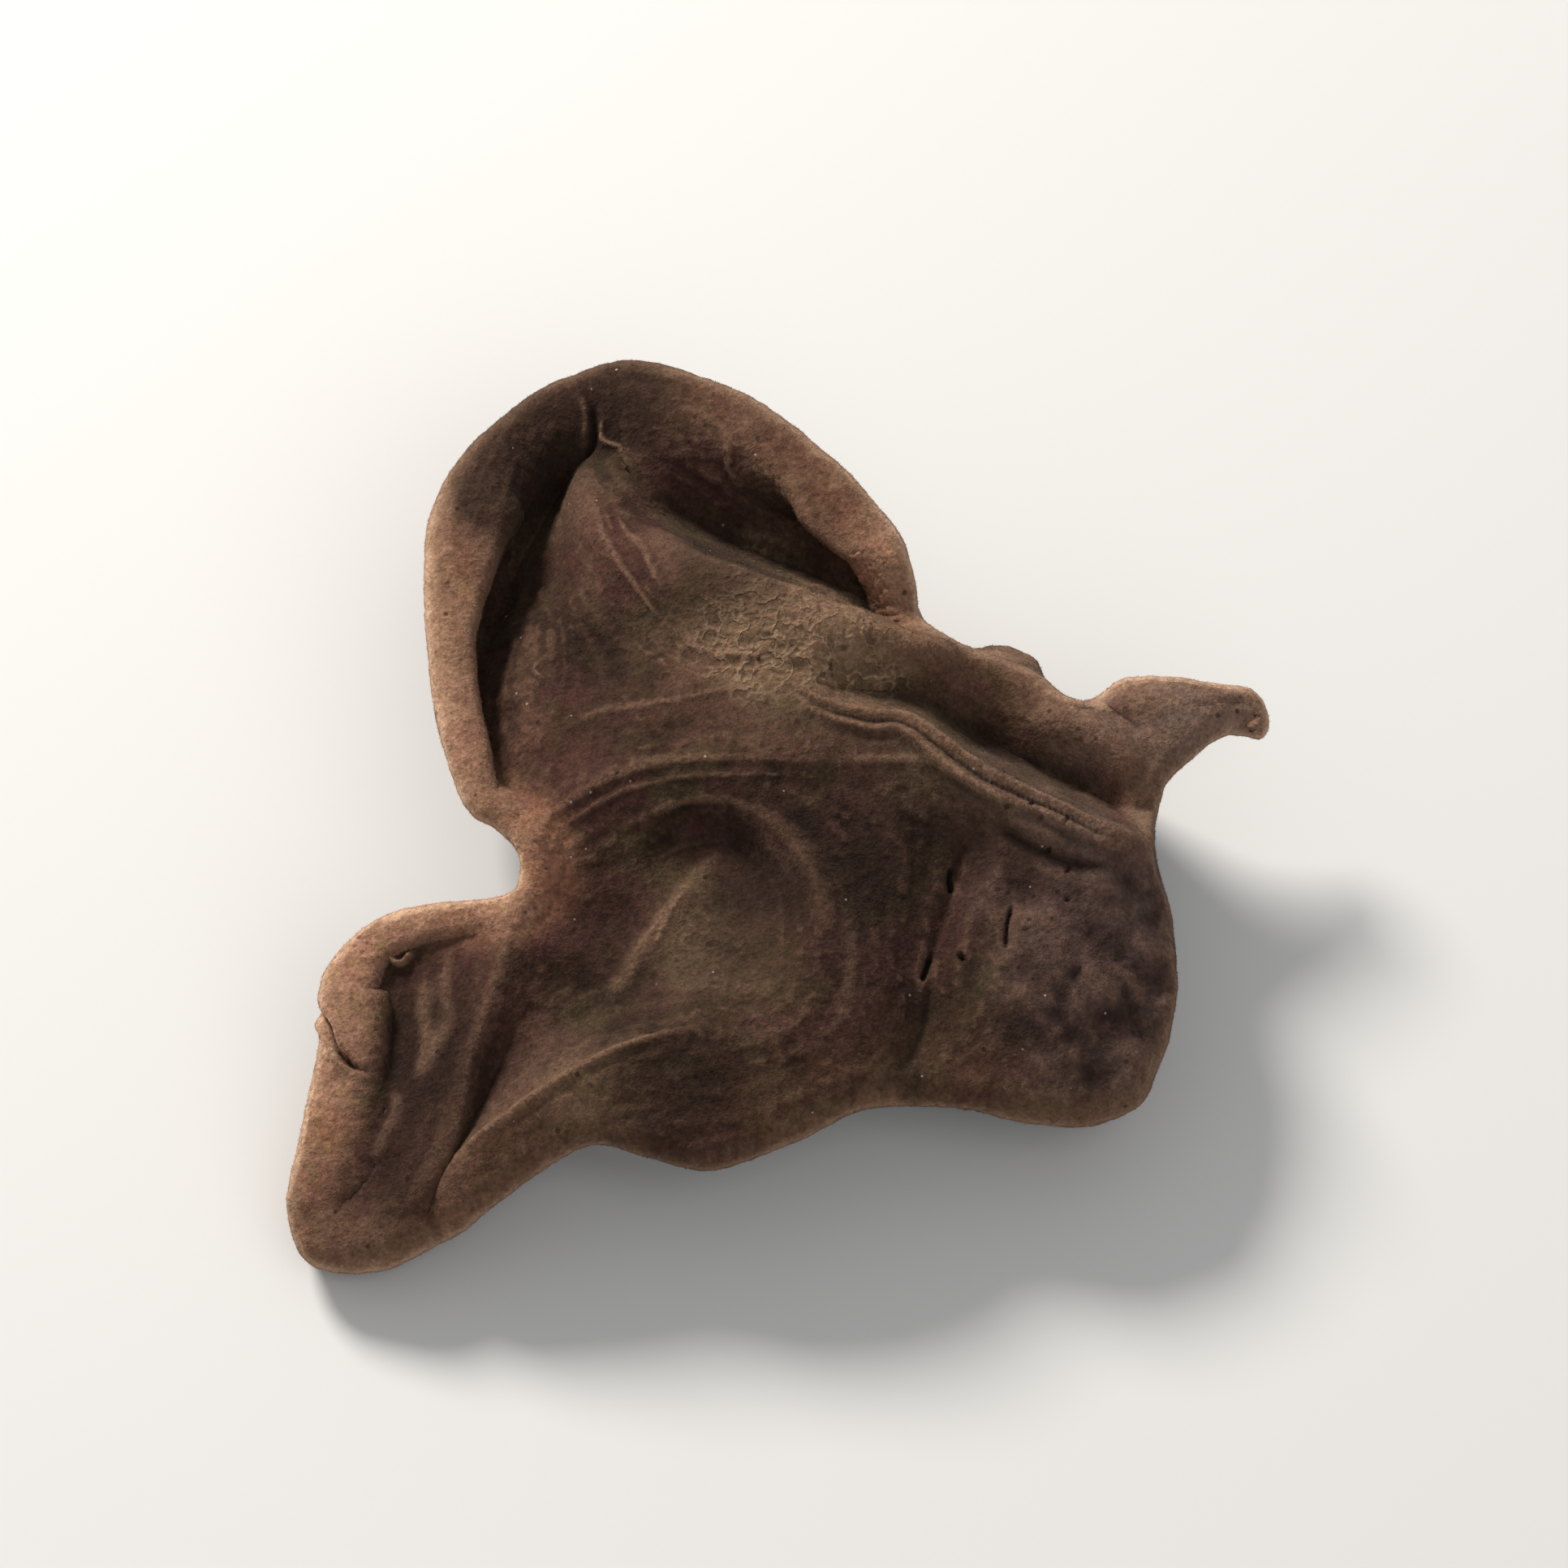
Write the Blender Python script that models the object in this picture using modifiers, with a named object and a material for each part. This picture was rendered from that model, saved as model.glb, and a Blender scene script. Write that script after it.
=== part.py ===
"""A dried wood ear mushroom: one thin, ear-shaped sheet that crumpled as it dried.

It lies felt side up on its curled margin, in metres, +Z up, with the origin on the ground under its middle.
The sheet is drawn in millimetres in a frame of its own: x to the right, u up its broad face and t out of
that face. The face is then laid back over the ground, which it meets with the hem of the margin.
"""

import math

import bmesh
import bpy
import numpy as np
from mathutils import Vector, geometry, kdtree, noise

MM = 0.001

# Driving dimensions of the sheet, in millimetres and degrees.
THICKNESS = 1.0
MESH_STEP = 1.6
FACE_PITCH = 55.0
FACE_SLOPE = 0.55
CROWN_RADIUS = 95.0
CROWN_LENGTHWISE = 0.6
FACE_MIDDLE_HEIGHT = 14.0
MARGIN_BLEND = 2.2
TURN_BLUR = 0.8

# The margin, clockwise from the top left: the points of each stretch (x, u), then how high its rim stands,
# how broad the rim's flat band is, how far it is from there down to the crease inside it, how far it leans
# in over that crease, the radius of the roll, the angle that it turns through, how much more the hem curls
# after it (degrees a millimetre) and how far the hem stays off the ground, negative where it is a foot.
MARGIN = (
    ("crown", ((-18.9, 28.2), (-15.0, 30.4), (-11.0, 31.5)),
     1.8, 0.4, 7.0, 0.0, 1.5, 112, 0.0, -2.0),
    ("hood", ((-5.6, 30.1), (-1.6, 28.2)),
     3.6, 0.8, 8.0, 0.0, 1.5, 110, 0.0, 5.0),
    ("arc rim", ((3.2, 24.4), (6.0, 21.3)),
     6.4, 3.0, 3.0, 4.4, 1.4, 98, 0.0, 11.0),
    ("arc tip", ((8.0, 18.6), (8.7, 15.8)),
     5.2, 2.0, 2.6, 3.6, 1.3, 98, 0.0, 9.0),
    ("arc end", ((9.4, 13.2), (11.4, 11.6)),
     0.4, 0.3, 2.4, 0.4, 1.0, 100, 0.0, 5.0),
    ("shoulder", ((14.4, 10.2), (17.6, 8.8), (19.8, 7.4)),
     0.0, 0.4, 4.0, 0.0, 1.8, 100, 0.0, -3.0),
    ("lobe top", ((21.4, 7.6), (23.6, 8.9), (26.6, 9.2), (29.6, 8.8)),
     0.3, 0.2, 2.0, 0.0, 1.1, 98, 0.0, 10.4),
    ("lobe tip", ((33.0, 8.2), (34.3, 5.9), (33.4, 3.9)),
     0.3, 0.2, 1.6, 0.0, 1.1, 95, 0.0, 9.8),
    ("lobe foot", ((30.6, 4.4), (28.2, 2.8), (26.2, 0.8), (25.4, -1.6)),
     0.0, 0.2, 2.0, 0.0, 1.0, 95, 0.0, 8.6),
    ("right side", ((26.0, -3.8), (27.1, -8.0), (27.4, -12.2), (26.8, -15.6)),
     0.0, 0.4, 4.0, 0.0, 1.8, 92, -1.0, 5.0),
    ("right foot", ((25.8, -18.6), (24.2, -21.2), (20.6, -22.4)),
     0.0, 0.4, 4.0, 0.0, 1.8, 93, 0.0, -4.0),
    ("underlip", ((16.5, -22.0), (10.2, -20.6), (5.2, -21.2), (0.4, -23.4)),
     0.0, 0.4, 4.0, 0.0, 1.3, 98, 0.0, 6.4),
    ("lip", ((-5.1, -25.0), (-9.4, -24.2), (-13.0, -23.6), (-17.0, -25.8)),
     0.0, 0.4, 4.0, 0.0, 1.2, 98, 0.0, 6.4),
    ("tip", ((-22.0, -29.4), (-27.6, -31.8), (-32.2, -31.4), (-34.0, -27.6)),
     0.5, 0.4, 3.5, 0.0, 1.4, 96, 0.0, -2.0),
    ("flange", ((-33.4, -23.6), (-32.6, -19.8)),
     1.2, 1.4, 4.0, 0.0, 1.4, 105, 0.0, 3.0),
    ("flange roll", ((-32.0, -16.6), (-31.9, -12.2)),
     2.2, 2.4, 3.0, 1.6, 1.5, 106, 0.0, 4.5),
    ("flange top", ((-29.6, -8.9), (-26.4, -7.2), (-22.2, -6.4)),
     1.9, 0.7, 2.2, 1.2, 1.2, 98, 0.0, 7.5),
    ("notch", ((-20.0, -6.2), (-18.4, -5.4), (-18.2, -3.6)),
     0.2, 0.2, 2.0, 0.0, 0.7, 90, 0.0, 10.0),
    ("notch top", ((-19.8, -2.0), (-21.8, -0.6)),
     2.2, 0.3, 2.0, 1.0, 0.9, 93, 0.0, 9.0),
    ("left rim", ((-23.2, 3.0), (-24.2, 8.0), (-24.7, 11.6)),
     4.8, 0.8, 2.4, 2.7, 1.1, 92, 0.0, 8.0),
    ("upper left rim", ((-25.0, 15.6),),
     5.0, 2.2, 2.8, 2.8, 1.3, 94, 0.0, 6.0),
    ("left crown", ((-24.8, 20.0), (-22.9, 24.4)),
     4.4, 3.2, 3.6, 2.2, 1.6, 106, 0.0, -2.0),
)

# The lines that the face hangs on: places on each (x, u) with their height there, how sharp it is (0 for a
# soft swell, 1 for a crease) and how far it leans over to the left of its direction.
CREASES = (
    ("crest", ((-10.4, 17.8, 1.5), (-8.9, 16.9, 2.4), (-6.7, 15.8, 3.4), (-4.0, 14.6, 3.9),
               (-1.6, 13.8, 4.0), (1.2, 12.7, 3.8), (4.5, 11.6, 3.5), (7.5, 10.6, 3.0), (10.6, 9.6, 2.2)),
     0.7, 1.2),
    ("hollow behind the crest", ((-9.4, 21.0, -1.8), (-7.4, 19.8, -4.0), (-4.6, 18.2, -6.2),
                                 (-1.2, 16.8, -6.8), (2.4, 15.3, -6.8), (5.4, 13.8, -5.9),
                                 (7.6, 12.7, -4.2)),
     0.5, 0.0),
    ("crease along the left rim", ((-13.4, 24.8, -2.2), (-14.8, 22.9, -3.8), (-16.6, 20.0, -4.8),
                                   (-18.4, 16.7, -4.8), (-19.9, 13.3, -4.4), (-21.0, 9.9, -3.8),
                                   (-21.4, 6.4, -2.8), (-20.6, 2.6, -1.6)),
     0.6, 0.0),
    ("middle ridge", ((-14.0, 23.2, 0.9), (-14.0, 21.6, 1.5), (-12.9, 19.4, 2.0), (-11.0, 16.8, 2.0),
                      (-8.8, 14.1, 1.4), (-7.1, 11.9, 0.8)),
     0.5, -0.3),
    ("hollow in the left body", ((-13.4, 12.8, -0.4), (-12.1, 10.4, -1.4), (-11.2, 8.2, -1.0)),
     0.1, 0.0),
    ("left shoulder of the body", ((-17.2, 11.6, 0.4), (-17.8, 7.0, 1.0), (-17.8, 2.6, 1.0),
                                   (-18.0, -1.4, 0.8)),
     0.3, 0.0),
    ("fold across the middle", ((-15.6, 4.4, 0.8), (-12.9, 5.7, 1.1), (-9.0, 6.3, 1.2), (-4.2, 7.4, 1.5),
                                (-0.6, 7.6, 1.7)),
     0.7, 0.3),
    ("step ridge", ((-0.6, 7.6, 1.7), (1.2, 6.2, 1.9), (3.0, 5.3, 2.3), (5.6, 4.7, 2.9),
                    (7.8, 4.5, 3.5), (9.8, 3.1, 3.8), (12.6, 1.1, 3.8), (15.4, -0.3, 3.7),
                    (18.2, -1.5, 3.5), (21.6, -3.2, 3.2), (24.0, -3.9, 2.6)),
     1.0, 1.3),
    ("trough above the step", ((3.4, 7.8, 0.2), (6.2, 7.4, -0.8), (9.2, 7.2, -2.0), (12.0, 5.2, -3.0),
                               (15.0, 3.4, -3.5), (19.6, 1.1, -3.7), (23.2, -0.8, -3.5)),
     0.7, 0.0),
    ("bowl rim", ((-18.4, -4.9, 1.3), (-17.0, -1.7, 1.6), (-14.4, 0.4, 1.7), (-11.4, 2.0, 1.9),
                  (-7.1, 3.0, 2.1), (-1.8, 3.2, 2.3), (2.6, 3.0, 2.5)),
     0.8, 0.2),
    ("inner arc of the bowl", ((-11.6, -2.4, 0.4), (-8.6, -0.4, 1.0), (-5.0, 0.4, 1.3), (-2.0, -0.4, 1.4),
                               (0.4, -2.4, 1.4), (2.2, -5.4, 1.2), (2.9, -8.6, 0.8)),
     0.7, 0.0),
    ("bowl", ((-9.6, -4.4, -0.6), (-6.6, -3.0, -1.3), (-3.8, -2.8, -1.7), (-1.6, -4.4, -1.7),
              (-0.6, -7.2, -1.3), (-0.6, -10.2, -0.8)),
     0.4, 0.0),
    ("floor of the bowl", ((-14.0, -8.4, -1.2), (-9.0, -9.8, -1.3), (-4.4, -11.6, -0.8)),
     0.0, 0.0),
    ("ridge below the notch", ((-18.3, -5.4, 1.2), (-18.6, -7.4, 1.2), (-19.6, -10.8, 1.3),
                               (-20.6, -14.0, 1.4), (-21.6, -17.2, 1.4), (-22.3, -20.4, 1.3),
                               (-23.2, -23.6, 1.1), (-25.0, -27.1, 0.9)),
     0.7, 0.3),
    ("groove beside the lip", ((-17.6, -14.6, -0.4), (-19.2, -17.6, -0.8), (-20.8, -21.0, -1.2),
                               (-22.6, -24.6, -1.4), (-24.6, -28.2, -1.2)),
     0.7, 0.0),
    ("flange valley", ((-25.9, -11.9, -0.6), (-26.3, -15.1, -0.6), (-26.8, -18.9, -0.4),
                       (-27.6, -23.3, -0.3)),
     0.2, 0.0),
    ("lip ridge", ((-23.4, -26.8, 0.5), (-20.7, -23.4, 1.3), (-18.2, -21.3, 1.9), (-15.2, -19.2, 2.2),
                   (-12.2, -17.5, 2.0), (-9.0, -16.3, 1.5), (-5.0, -15.4, 1.0)),
     0.9, 0.3),
    ("valley above the lip", ((-15.8, -15.6, -0.8), (-11.6, -13.8, -0.9), (-7.4, -13.0, -0.6),
                              (-3.6, -12.6, 0.0)),
     0.2, 0.0),
    ("shoulder's end", ((18.2, 6.0, 0.9), (20.4, 5.0, 1.3), (22.4, 3.6, 1.3), (23.8, 2.0, 0.9)),
     0.6, 0.4),
    ("fold at the lobe's root", ((20.6, 7.6, -0.7), (22.4, 6.4, -1.5), (24.4, 5.2, -1.2)),
     0.8, 0.0),
    ("lobe", ((24.8, 7.0, 0.9), (27.6, 6.8, 1.4), (30.4, 6.4, 1.5)),
     0.3, 0.0),
    ("valley left of the right lobe", ((12.4, -2.9, 0.2), (11.3, -6.4, -0.6), (9.9, -10.8, -1.1),
                                       (9.6, -14.6, -1.3), (8.0, -18.4, -1.3)),
     0.6, 0.0),
)

# Broad swellings of the face: the middle of each (x, u), its height and its half width.
SWELLINGS = (
    ("lower body", (1.0, -14.5), 2.4, 7.5),
    ("right lobe", (18.6, -12.4), 2.2, 7.0),
    ("upper body", (2.5, 10.0), 0.9, 5.0),
)

# Fields over the face, on a square grid in the sheet's frame: its step, corner and cells; how far a crease
# lifts and leans the face beside it; how firmly the face is held to its creases, which fade over this share
# of their length, and how much they are smoothed.
GRID_STEP = 0.5
GRID_LOW = (-38.0, -36.0)
GRID_CELLS = (148, 142)
MOST_ROUNDS = 1500
LINE_STEP = 0.2
LINE_FADE = 0.15
FAINTEST = 0.04
REACH = 5.0
LEAN_REACH = 2.0
HOLD = 30.0
RELIEF = 1.25
CREASE_BLUR = 0.6
SWELL_BLUR = 1.4
SHARPNESS_BLUR = 0.8
LEAN_BLUR = 0.5

# The rows of points that follow the rim inside it, and the share of a step that points keep between them.
INNER_ROWS = (1.4, 3.0)
POINT_GAP = 0.62

# The roll of the margin and its hem: its rows of points, how its profile is traced, and how the drying hem
# waves and draws in on its way down.
BAND_ROWS = 8
BAND_CROWDING = 1.5
PROFILE_STEP = 0.25
SLOPE_STEP = 0.5
START_BLUR = 1.2
LEAST_ROLL = 8
MOST_TURN = math.radians(215)
HEM_LONGEST = 22.0
RUFFLE_SIZE = 8.0
RUFFLE_REACH = 12.0
RUFFLE_MOST = 1.5
RUFFLE_HEIGHT = 4.0
RUFFLE_DRAW = 0.15
RUFFLE_ROWS = 16
RUFFLE_DRIFT = 0.4


def smooth_line(points, closed, step):
    """Catmull-Rom curve through the points at an even spacing, where its samples lie and its length."""
    points = np.array(points, float)
    count = len(points)
    spans = count if closed else count - 1
    position = np.linspace(0, spans, spans * 24, endpoint=not closed)
    first = np.minimum(position.astype(int), spans - 1)
    f = (position - first)[:, None]
    if closed:
        a, b, c, d = (points[(first + k) % count] for k in (-1, 0, 1, 2))
    else:
        a, b, c, d = (points[np.clip(first + k, 0, count - 1)] for k in (-1, 0, 1, 2))
    dense = b + 0.5 * f * (c - a + f * (2 * a - 5 * b + 4 * c - d + f * (3 * (b - c) + d - a)))
    if closed:
        dense = np.vstack([dense, dense[:1]])
        position = np.append(position, spans)
    lengths = np.append(0, np.cumsum(np.linalg.norm(np.diff(dense[:, :2], axis=0), axis=1)))
    pieces = max(2, round(lengths[-1] / step))
    wanted = np.linspace(0, lengths[-1], pieces, endpoint=not closed)
    samples = np.stack([np.interp(wanted, lengths, column) for column in dense.T], axis=1)
    return samples, np.interp(wanted, lengths, position), lengths[-1]


def blur_round(values, reach):
    """Gaussian blur of values that run round a closed line, over this many samples."""
    offsets = np.arange(-3 * math.ceil(reach), 3 * math.ceil(reach) + 1)
    weights = np.exp(-0.5 * (offsets / reach) ** 2)
    return sum(w * np.roll(values, -k, axis=0) for k, w in zip(offsets, weights)) / weights.sum()


def margin_line(step):
    """The margin's outline with its outward directions, and the eight values that go with each sample."""
    points = [point for _, stretch, *_ in MARGIN for point in stretch]
    values = np.array([settings for _, stretch, *settings in MARGIN for _ in stretch], float)
    outline, position, length = smooth_line(points, True, step)
    low = position.astype(int) % len(points)
    share = (position % 1)[:, None]
    settings = values[low] * (1 - share) + values[(low + 1) % len(points)] * share
    spacing = length / len(outline)
    settings = blur_round(settings, MARGIN_BLEND / spacing)
    along = blur_round(np.roll(outline, -1, axis=0) - np.roll(outline, 1, axis=0), TURN_BLUR / spacing)
    along /= np.linalg.norm(along, axis=1)[:, None]
    outward = np.stack([-along[:, 1], along[:, 0]], axis=1)
    return outline, outward, settings.T


def nearest_of(points, targets):
    """For each point, which of the targets is nearest and how far away it is."""
    tree = kdtree.KDTree(len(targets))
    for k, (x, u) in enumerate(targets):
        tree.insert((x, u, 0), k)
    tree.balance()
    found = [tree.find((x, u, 0))[1:] for x, u in points]
    return np.array([index for index, _ in found]), np.array([distance for _, distance in found])


def drawn(lines, values):
    """Lines drawn on the grid: how firmly each cell is held and the value that it is held at."""
    firm = np.zeros(GRID_CELLS)
    total = np.zeros(GRID_CELLS + np.shape(values[0])[1:])
    for line, value in zip(lines, values):
        along = np.linspace(0, 1, len(line))
        fade = np.clip(np.minimum(along, 1 - along) / LINE_FADE, FAINTEST, 1)
        cells = np.round((line[:, :2] - GRID_LOW) / GRID_STEP).astype(int)
        np.add.at(firm, tuple(cells.T), fade)
        np.add.at(total, tuple(cells.T), (value.T * fade).T)
    held = np.maximum(firm, 1e-9)
    return np.minimum(firm, 1) * HOLD, (total.T / held.T).T


def stretched(firm, values, reach):
    """The field that a skin takes when the drawn cells hold it up and it falls back to 0 over the reach."""
    pull = (GRID_STEP / reach) ** 2
    rounds = int(3 * (reach / GRID_STEP) ** 2)
    field = np.zeros(GRID_CELLS)
    for _ in range(min(rounds, MOST_ROUNDS)):
        edged = np.pad(field, 1, mode="edge")
        around = edged[:-2, 1:-1] + edged[2:, 1:-1] + edged[1:-1, :-2] + edged[1:-1, 2:]
        field = (around + firm * values) / (4 + pull + firm)
    return field


def blurred(field, reach):
    """Gaussian blur of a grid field, over a reach in millimetres."""
    cells = reach / GRID_STEP
    offsets = np.arange(-math.ceil(3 * cells), math.ceil(3 * cells) + 1)
    weights = np.exp(-0.5 * (offsets / cells) ** 2)
    weights /= weights.sum()
    for _ in range(2):
        edged = np.pad(field, ((-offsets[0], offsets[-1]), (0, 0)), mode="edge")
        field = sum(w * edged[k:k + len(field)] for k, w in enumerate(weights)).T
    return field


def sampled(field, points):
    """The grid field at these places, smoothly between its cells."""
    place = (points - GRID_LOW) / GRID_STEP
    place = np.clip(place, 1, np.array(GRID_CELLS) - 2.001)
    low = place.astype(int)
    f, g = (place - low).T
    total = 0
    weights = [[-0.5 * h + h**2 - 0.5 * h**3, 1 - 2.5 * h**2 + 1.5 * h**3, 0.5 * h + 2 * h**2 - 1.5 * h**3,
                0.5 * (h**3 - h**2)] for h in (f, g)]
    for i in range(4):
        for j in range(4):
            row = np.minimum(low[:, 0] + i - 1, GRID_CELLS[0] - 1)
            column = np.minimum(low[:, 1] + j - 1, GRID_CELLS[1] - 1)
            total = total + weights[0][i] * weights[1][j] * field[row, column]
    return total


def face_fields():
    """Grid fields of the face: its height over the lines it hangs on, and its lean in x and in u."""
    lines = [smooth_line(points, False, LINE_STEP)[0] for _, points, _, _ in CREASES]
    firm, heights = drawn(lines, [RELIEF * line[:, 2] for line in lines])
    tent = stretched(firm, heights, REACH)
    firm, sharpness = drawn(lines, [np.full(len(line), row[2]) for line, row in zip(lines, CREASES)])
    sharp = np.clip(blurred(stretched(firm, sharpness, REACH), SHARPNESS_BLUR), 0, 1)
    height = sharp * blurred(tent, CREASE_BLUR) + (1 - sharp) * blurred(tent, SWELL_BLUR)
    along = [np.gradient(line[:, :2], axis=0) for line in lines]
    along = [run / np.linalg.norm(run, axis=1)[:, None] for run in along]
    leans = []
    for axis, sign in ((1, -1), (0, 1)):
        firm, lean = drawn(lines, [sign * row[3] * run[:, axis] for row, run in zip(CREASES, along)])
        leans.append(blurred(stretched(firm, lean, LEAN_REACH), LEAN_BLUR))
    return height, leans


def face_level(flat, height):
    """How high the face stands at these places: its slope, its round back, its folds and its swellings."""
    x, u = flat.T
    level = -FACE_SLOPE * u - (x**2 + CROWN_LENGTHWISE * u**2) / (2 * CROWN_RADIUS) + sampled(height, flat)
    for _, middle, amount, half_width in SWELLINGS:
        level += amount * np.exp(-(((flat - middle) ** 2).sum(axis=1) / half_width**2))
    return level


def laid_down(flat, height):
    """Places in the sheet's frame (x, u) and t, turned so that the face lies back over the ground."""
    pitch = math.radians(FACE_PITCH)
    x, u = flat[..., 0], flat[..., 1]
    y = u * math.sin(pitch) - height * math.cos(pitch)
    z = u * math.cos(pitch) + height * math.sin(pitch)
    return np.stack([x, y, z + FACE_MIDDLE_HEIGHT], axis=-1)


def rim_crest(outline, outward, lean, radius):
    """The crest of the rim, so placed that the roll from the sloping face ends at the outline."""
    x, u = outline.T
    bend = x * outward[:, 0] + CROWN_LENGTHWISE * u * outward[:, 1]
    slope = FACE_SLOPE * outward[:, 1] + bend / CROWN_RADIUS
    roll = radius * (1 - np.sin(np.arctan(slope)))
    return outline - outward * (roll + THICKNESS / 2 - lean)[:, None]


def rim_shape(distance, flat, width):
    """1 on the band of the raised rim, 0 where it meets the crease."""
    return 0.5 + 0.5 * np.cos(np.clip((distance - flat) / width, 0, 1) * math.pi)


def apart(points, others, distance):
    """The points that keep this distance from the others."""
    return points[nearest_of(points, others)[1] > distance]


def fill(boundary, inward, step):
    """Points and triangles that fill the boundary, with rows of points along it and along the creases."""
    low, high = boundary.min(axis=0), boundary.max(axis=0)
    lines = np.arange(low[1], high[1], step * math.sqrt(0.75))
    columns = np.arange(low[0], high[0], step)
    lattice = [(x + 0.5 * step * (k % 2), u) for k, u in enumerate(lines) for x in columns]
    rows = [boundary + distance * inward for distance in INNER_ROWS]
    rows += [smooth_line(points, False, step)[0][:, :2] for _, points, _, _ in CREASES]
    placed = boundary
    for row in [*rows, np.array(lattice)]:
        placed = np.vstack([placed, apart(row, placed, POINT_GAP * step)])
    count = len(boundary)
    edges = [(k, (k + 1) % count) for k in range(count)]
    placed = [Vector(place) for place in placed]
    found, _, triangles, sources, _, _ = geometry.delaunay_2d_cdt(placed, edges, [], 1, 1e-6)
    used = sorted({corner for triangle in triangles for corner in triangle})
    order = {corner: k for k, corner in enumerate(used)}
    triangles = [[order[corner] for corner in triangle] for triangle in triangles]
    ring = {source: order[corner] for corner in used for source in sources[corner]}
    return np.array([tuple(found[corner]) for corner in used]), triangles, [ring[k] for k in range(count)]


def ruffles(crest, run):
    """How far the drying hem waves in and out, more the further it is from the roll."""
    grown = np.clip(run / RUFFLE_REACH, 0, RUFFLE_MOST) ** 2 * RUFFLE_HEIGHT
    levels = run[::RUFFLE_ROWS, 0] * RUFFLE_DRIFT
    waves = [[noise.noise(Vector((x, u, level)) / RUFFLE_SIZE) for x, u in crest] for level in levels]
    return grown * (np.repeat(waves, RUFFLE_ROWS, axis=0)[: len(run)] - RUFFLE_DRAW)


def hem_profile(crest, top, outward, start, settings):
    """The margin from its rim's crest, over the roll and down to the hem: rows of (x, u) and t."""
    radius, turn, flare, clearance = settings[4:8]
    turn = np.radians(turn)
    flare = np.radians(flare)
    fine = PROFILE_STEP
    run = np.arange(0, 2 * HEM_LONGEST, fine)[:, None]
    rolled = radius * (turn - start)
    angle = start + np.minimum(run / radius, turn - start) + flare * np.maximum(run - rolled, 0)
    angle = np.clip(angle, start, MOST_TURN)
    out = (np.cumsum(np.cos(angle), axis=0) - np.cos(angle[0])) * fine
    back = (np.cumsum(np.sin(angle), axis=0) - np.sin(angle[0])) * fine
    out = out + ruffles(crest, run)
    flat = crest[None] + out[..., None] * outward[None]
    drop = top[None] - back
    level = laid_down(flat, drop)[..., 2]
    lowest_run = (rolled / fine).astype(int)
    reached = level <= np.maximum(clearance, 0)[None]
    last = np.where(reached.any(axis=0), reached.argmax(axis=0), level.argmin(axis=0))
    last = np.maximum(last, np.minimum(lowest_run, last + LEAST_ROLL))
    last = np.minimum(last, round(HEM_LONGEST / fine))
    rows = []
    for row in range(1, BAND_ROWS + 1):
        at = last * (row / BAND_ROWS) ** BAND_CROWDING
        low = at.astype(int)
        share = at - low
        columns = np.arange(len(crest))
        place = flat[low, columns] * (1 - share)[:, None] + flat[low + 1, columns] * share[:, None]
        height = drop[low, columns] * (1 - share) + drop[low + 1, columns] * share
        rows.append((place, height))
    return rows


def sheet_mesh():
    """The sheet's middle surface."""
    outline, outward, settings = margin_line(MESH_STEP)
    rim, band, width, lean, radius = settings[:5]
    crest = rim_crest(outline, outward, lean, radius)
    flat, triangles, ring = fill(crest, -outward, MESH_STEP)
    nearest, away = nearest_of(flat, crest)
    raised = rim_shape(away, band[nearest], width[nearest])
    height, leans = face_fields()
    level = face_level(flat, height) + rim[nearest] * raised
    leaned = flat + np.stack([sampled(field, flat) for field in leans], axis=1)
    leaned -= outward[nearest] * (lean[nearest] * raised)[:, None]
    behind = face_level(crest - SLOPE_STEP * outward, height)
    start = np.arctan((behind - face_level(crest, height)) / SLOPE_STEP)
    start = blur_round(start, START_BLUR / MESH_STEP)
    body = bmesh.new()
    inner = [body.verts.new(place) for place in laid_down(leaned, level) * MM]
    for triangle in triangles:
        body.faces.new([inner[k] for k in triangle])
    previous = [inner[k] for k in ring]
    for place, drop in hem_profile(leaned[ring], level[ring], outward, start, settings):
        row = [body.verts.new(corner) for corner in laid_down(place, drop) * MM]
        for k in range(len(row)):
            after = (k + 1) % len(row)
            body.faces.new((previous[k], row[k], row[after], previous[after]))
        previous = row
    bmesh.ops.recalc_face_normals(body, faces=body.faces)
    mesh = bpy.data.meshes.new("mushroom_sheet")
    body.to_mesh(mesh)
    body.free()
    return mesh


def felt_material():
    material = bpy.data.materials.new("felted_skin")
    material.use_nodes = True
    shader = material.node_tree.nodes["Principled BSDF"]
    shader.inputs["Base Color"].default_value = (0.115, 0.062, 0.040, 1)
    shader.inputs["Roughness"].default_value = 0.9
    shader.inputs["Metallic"].default_value = 0.0
    return material


def centred(mesh):
    """Centres the mesh over the origin by its bounding box and flattens what is below the ground."""
    corners = np.array([vertex.co for vertex in mesh.vertices])
    middle = (corners.min(axis=0) + corners.max(axis=0)) / 2
    for vertex in mesh.vertices:
        vertex.co.x -= middle[0]
        vertex.co.y -= middle[1]
        vertex.co.z = max(vertex.co.z, 0)


def make_mushroom():
    collection = bpy.data.collections.new("dried_wood_ear_mushroom")
    bpy.context.scene.collection.children.link(collection)
    sheet = bpy.data.objects.new("mushroom", sheet_mesh())
    collection.objects.link(sheet)
    solidify = sheet.modifiers.new("Thickness", "SOLIDIFY")
    solidify.thickness = THICKNESS * MM
    solidify.offset = 0
    bpy.context.view_layer.update()
    solid = bpy.data.meshes.new_from_object(sheet.evaluated_get(bpy.context.evaluated_depsgraph_get()))
    sheet.modifiers.clear()
    sheet.data = solid
    centred(solid)
    solid.materials.clear()
    solid.materials.append(felt_material())
    solid.shade_smooth()


def main():
    for thing in list(bpy.data.objects):
        bpy.data.objects.remove(thing)
    make_mushroom()


main()
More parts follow.
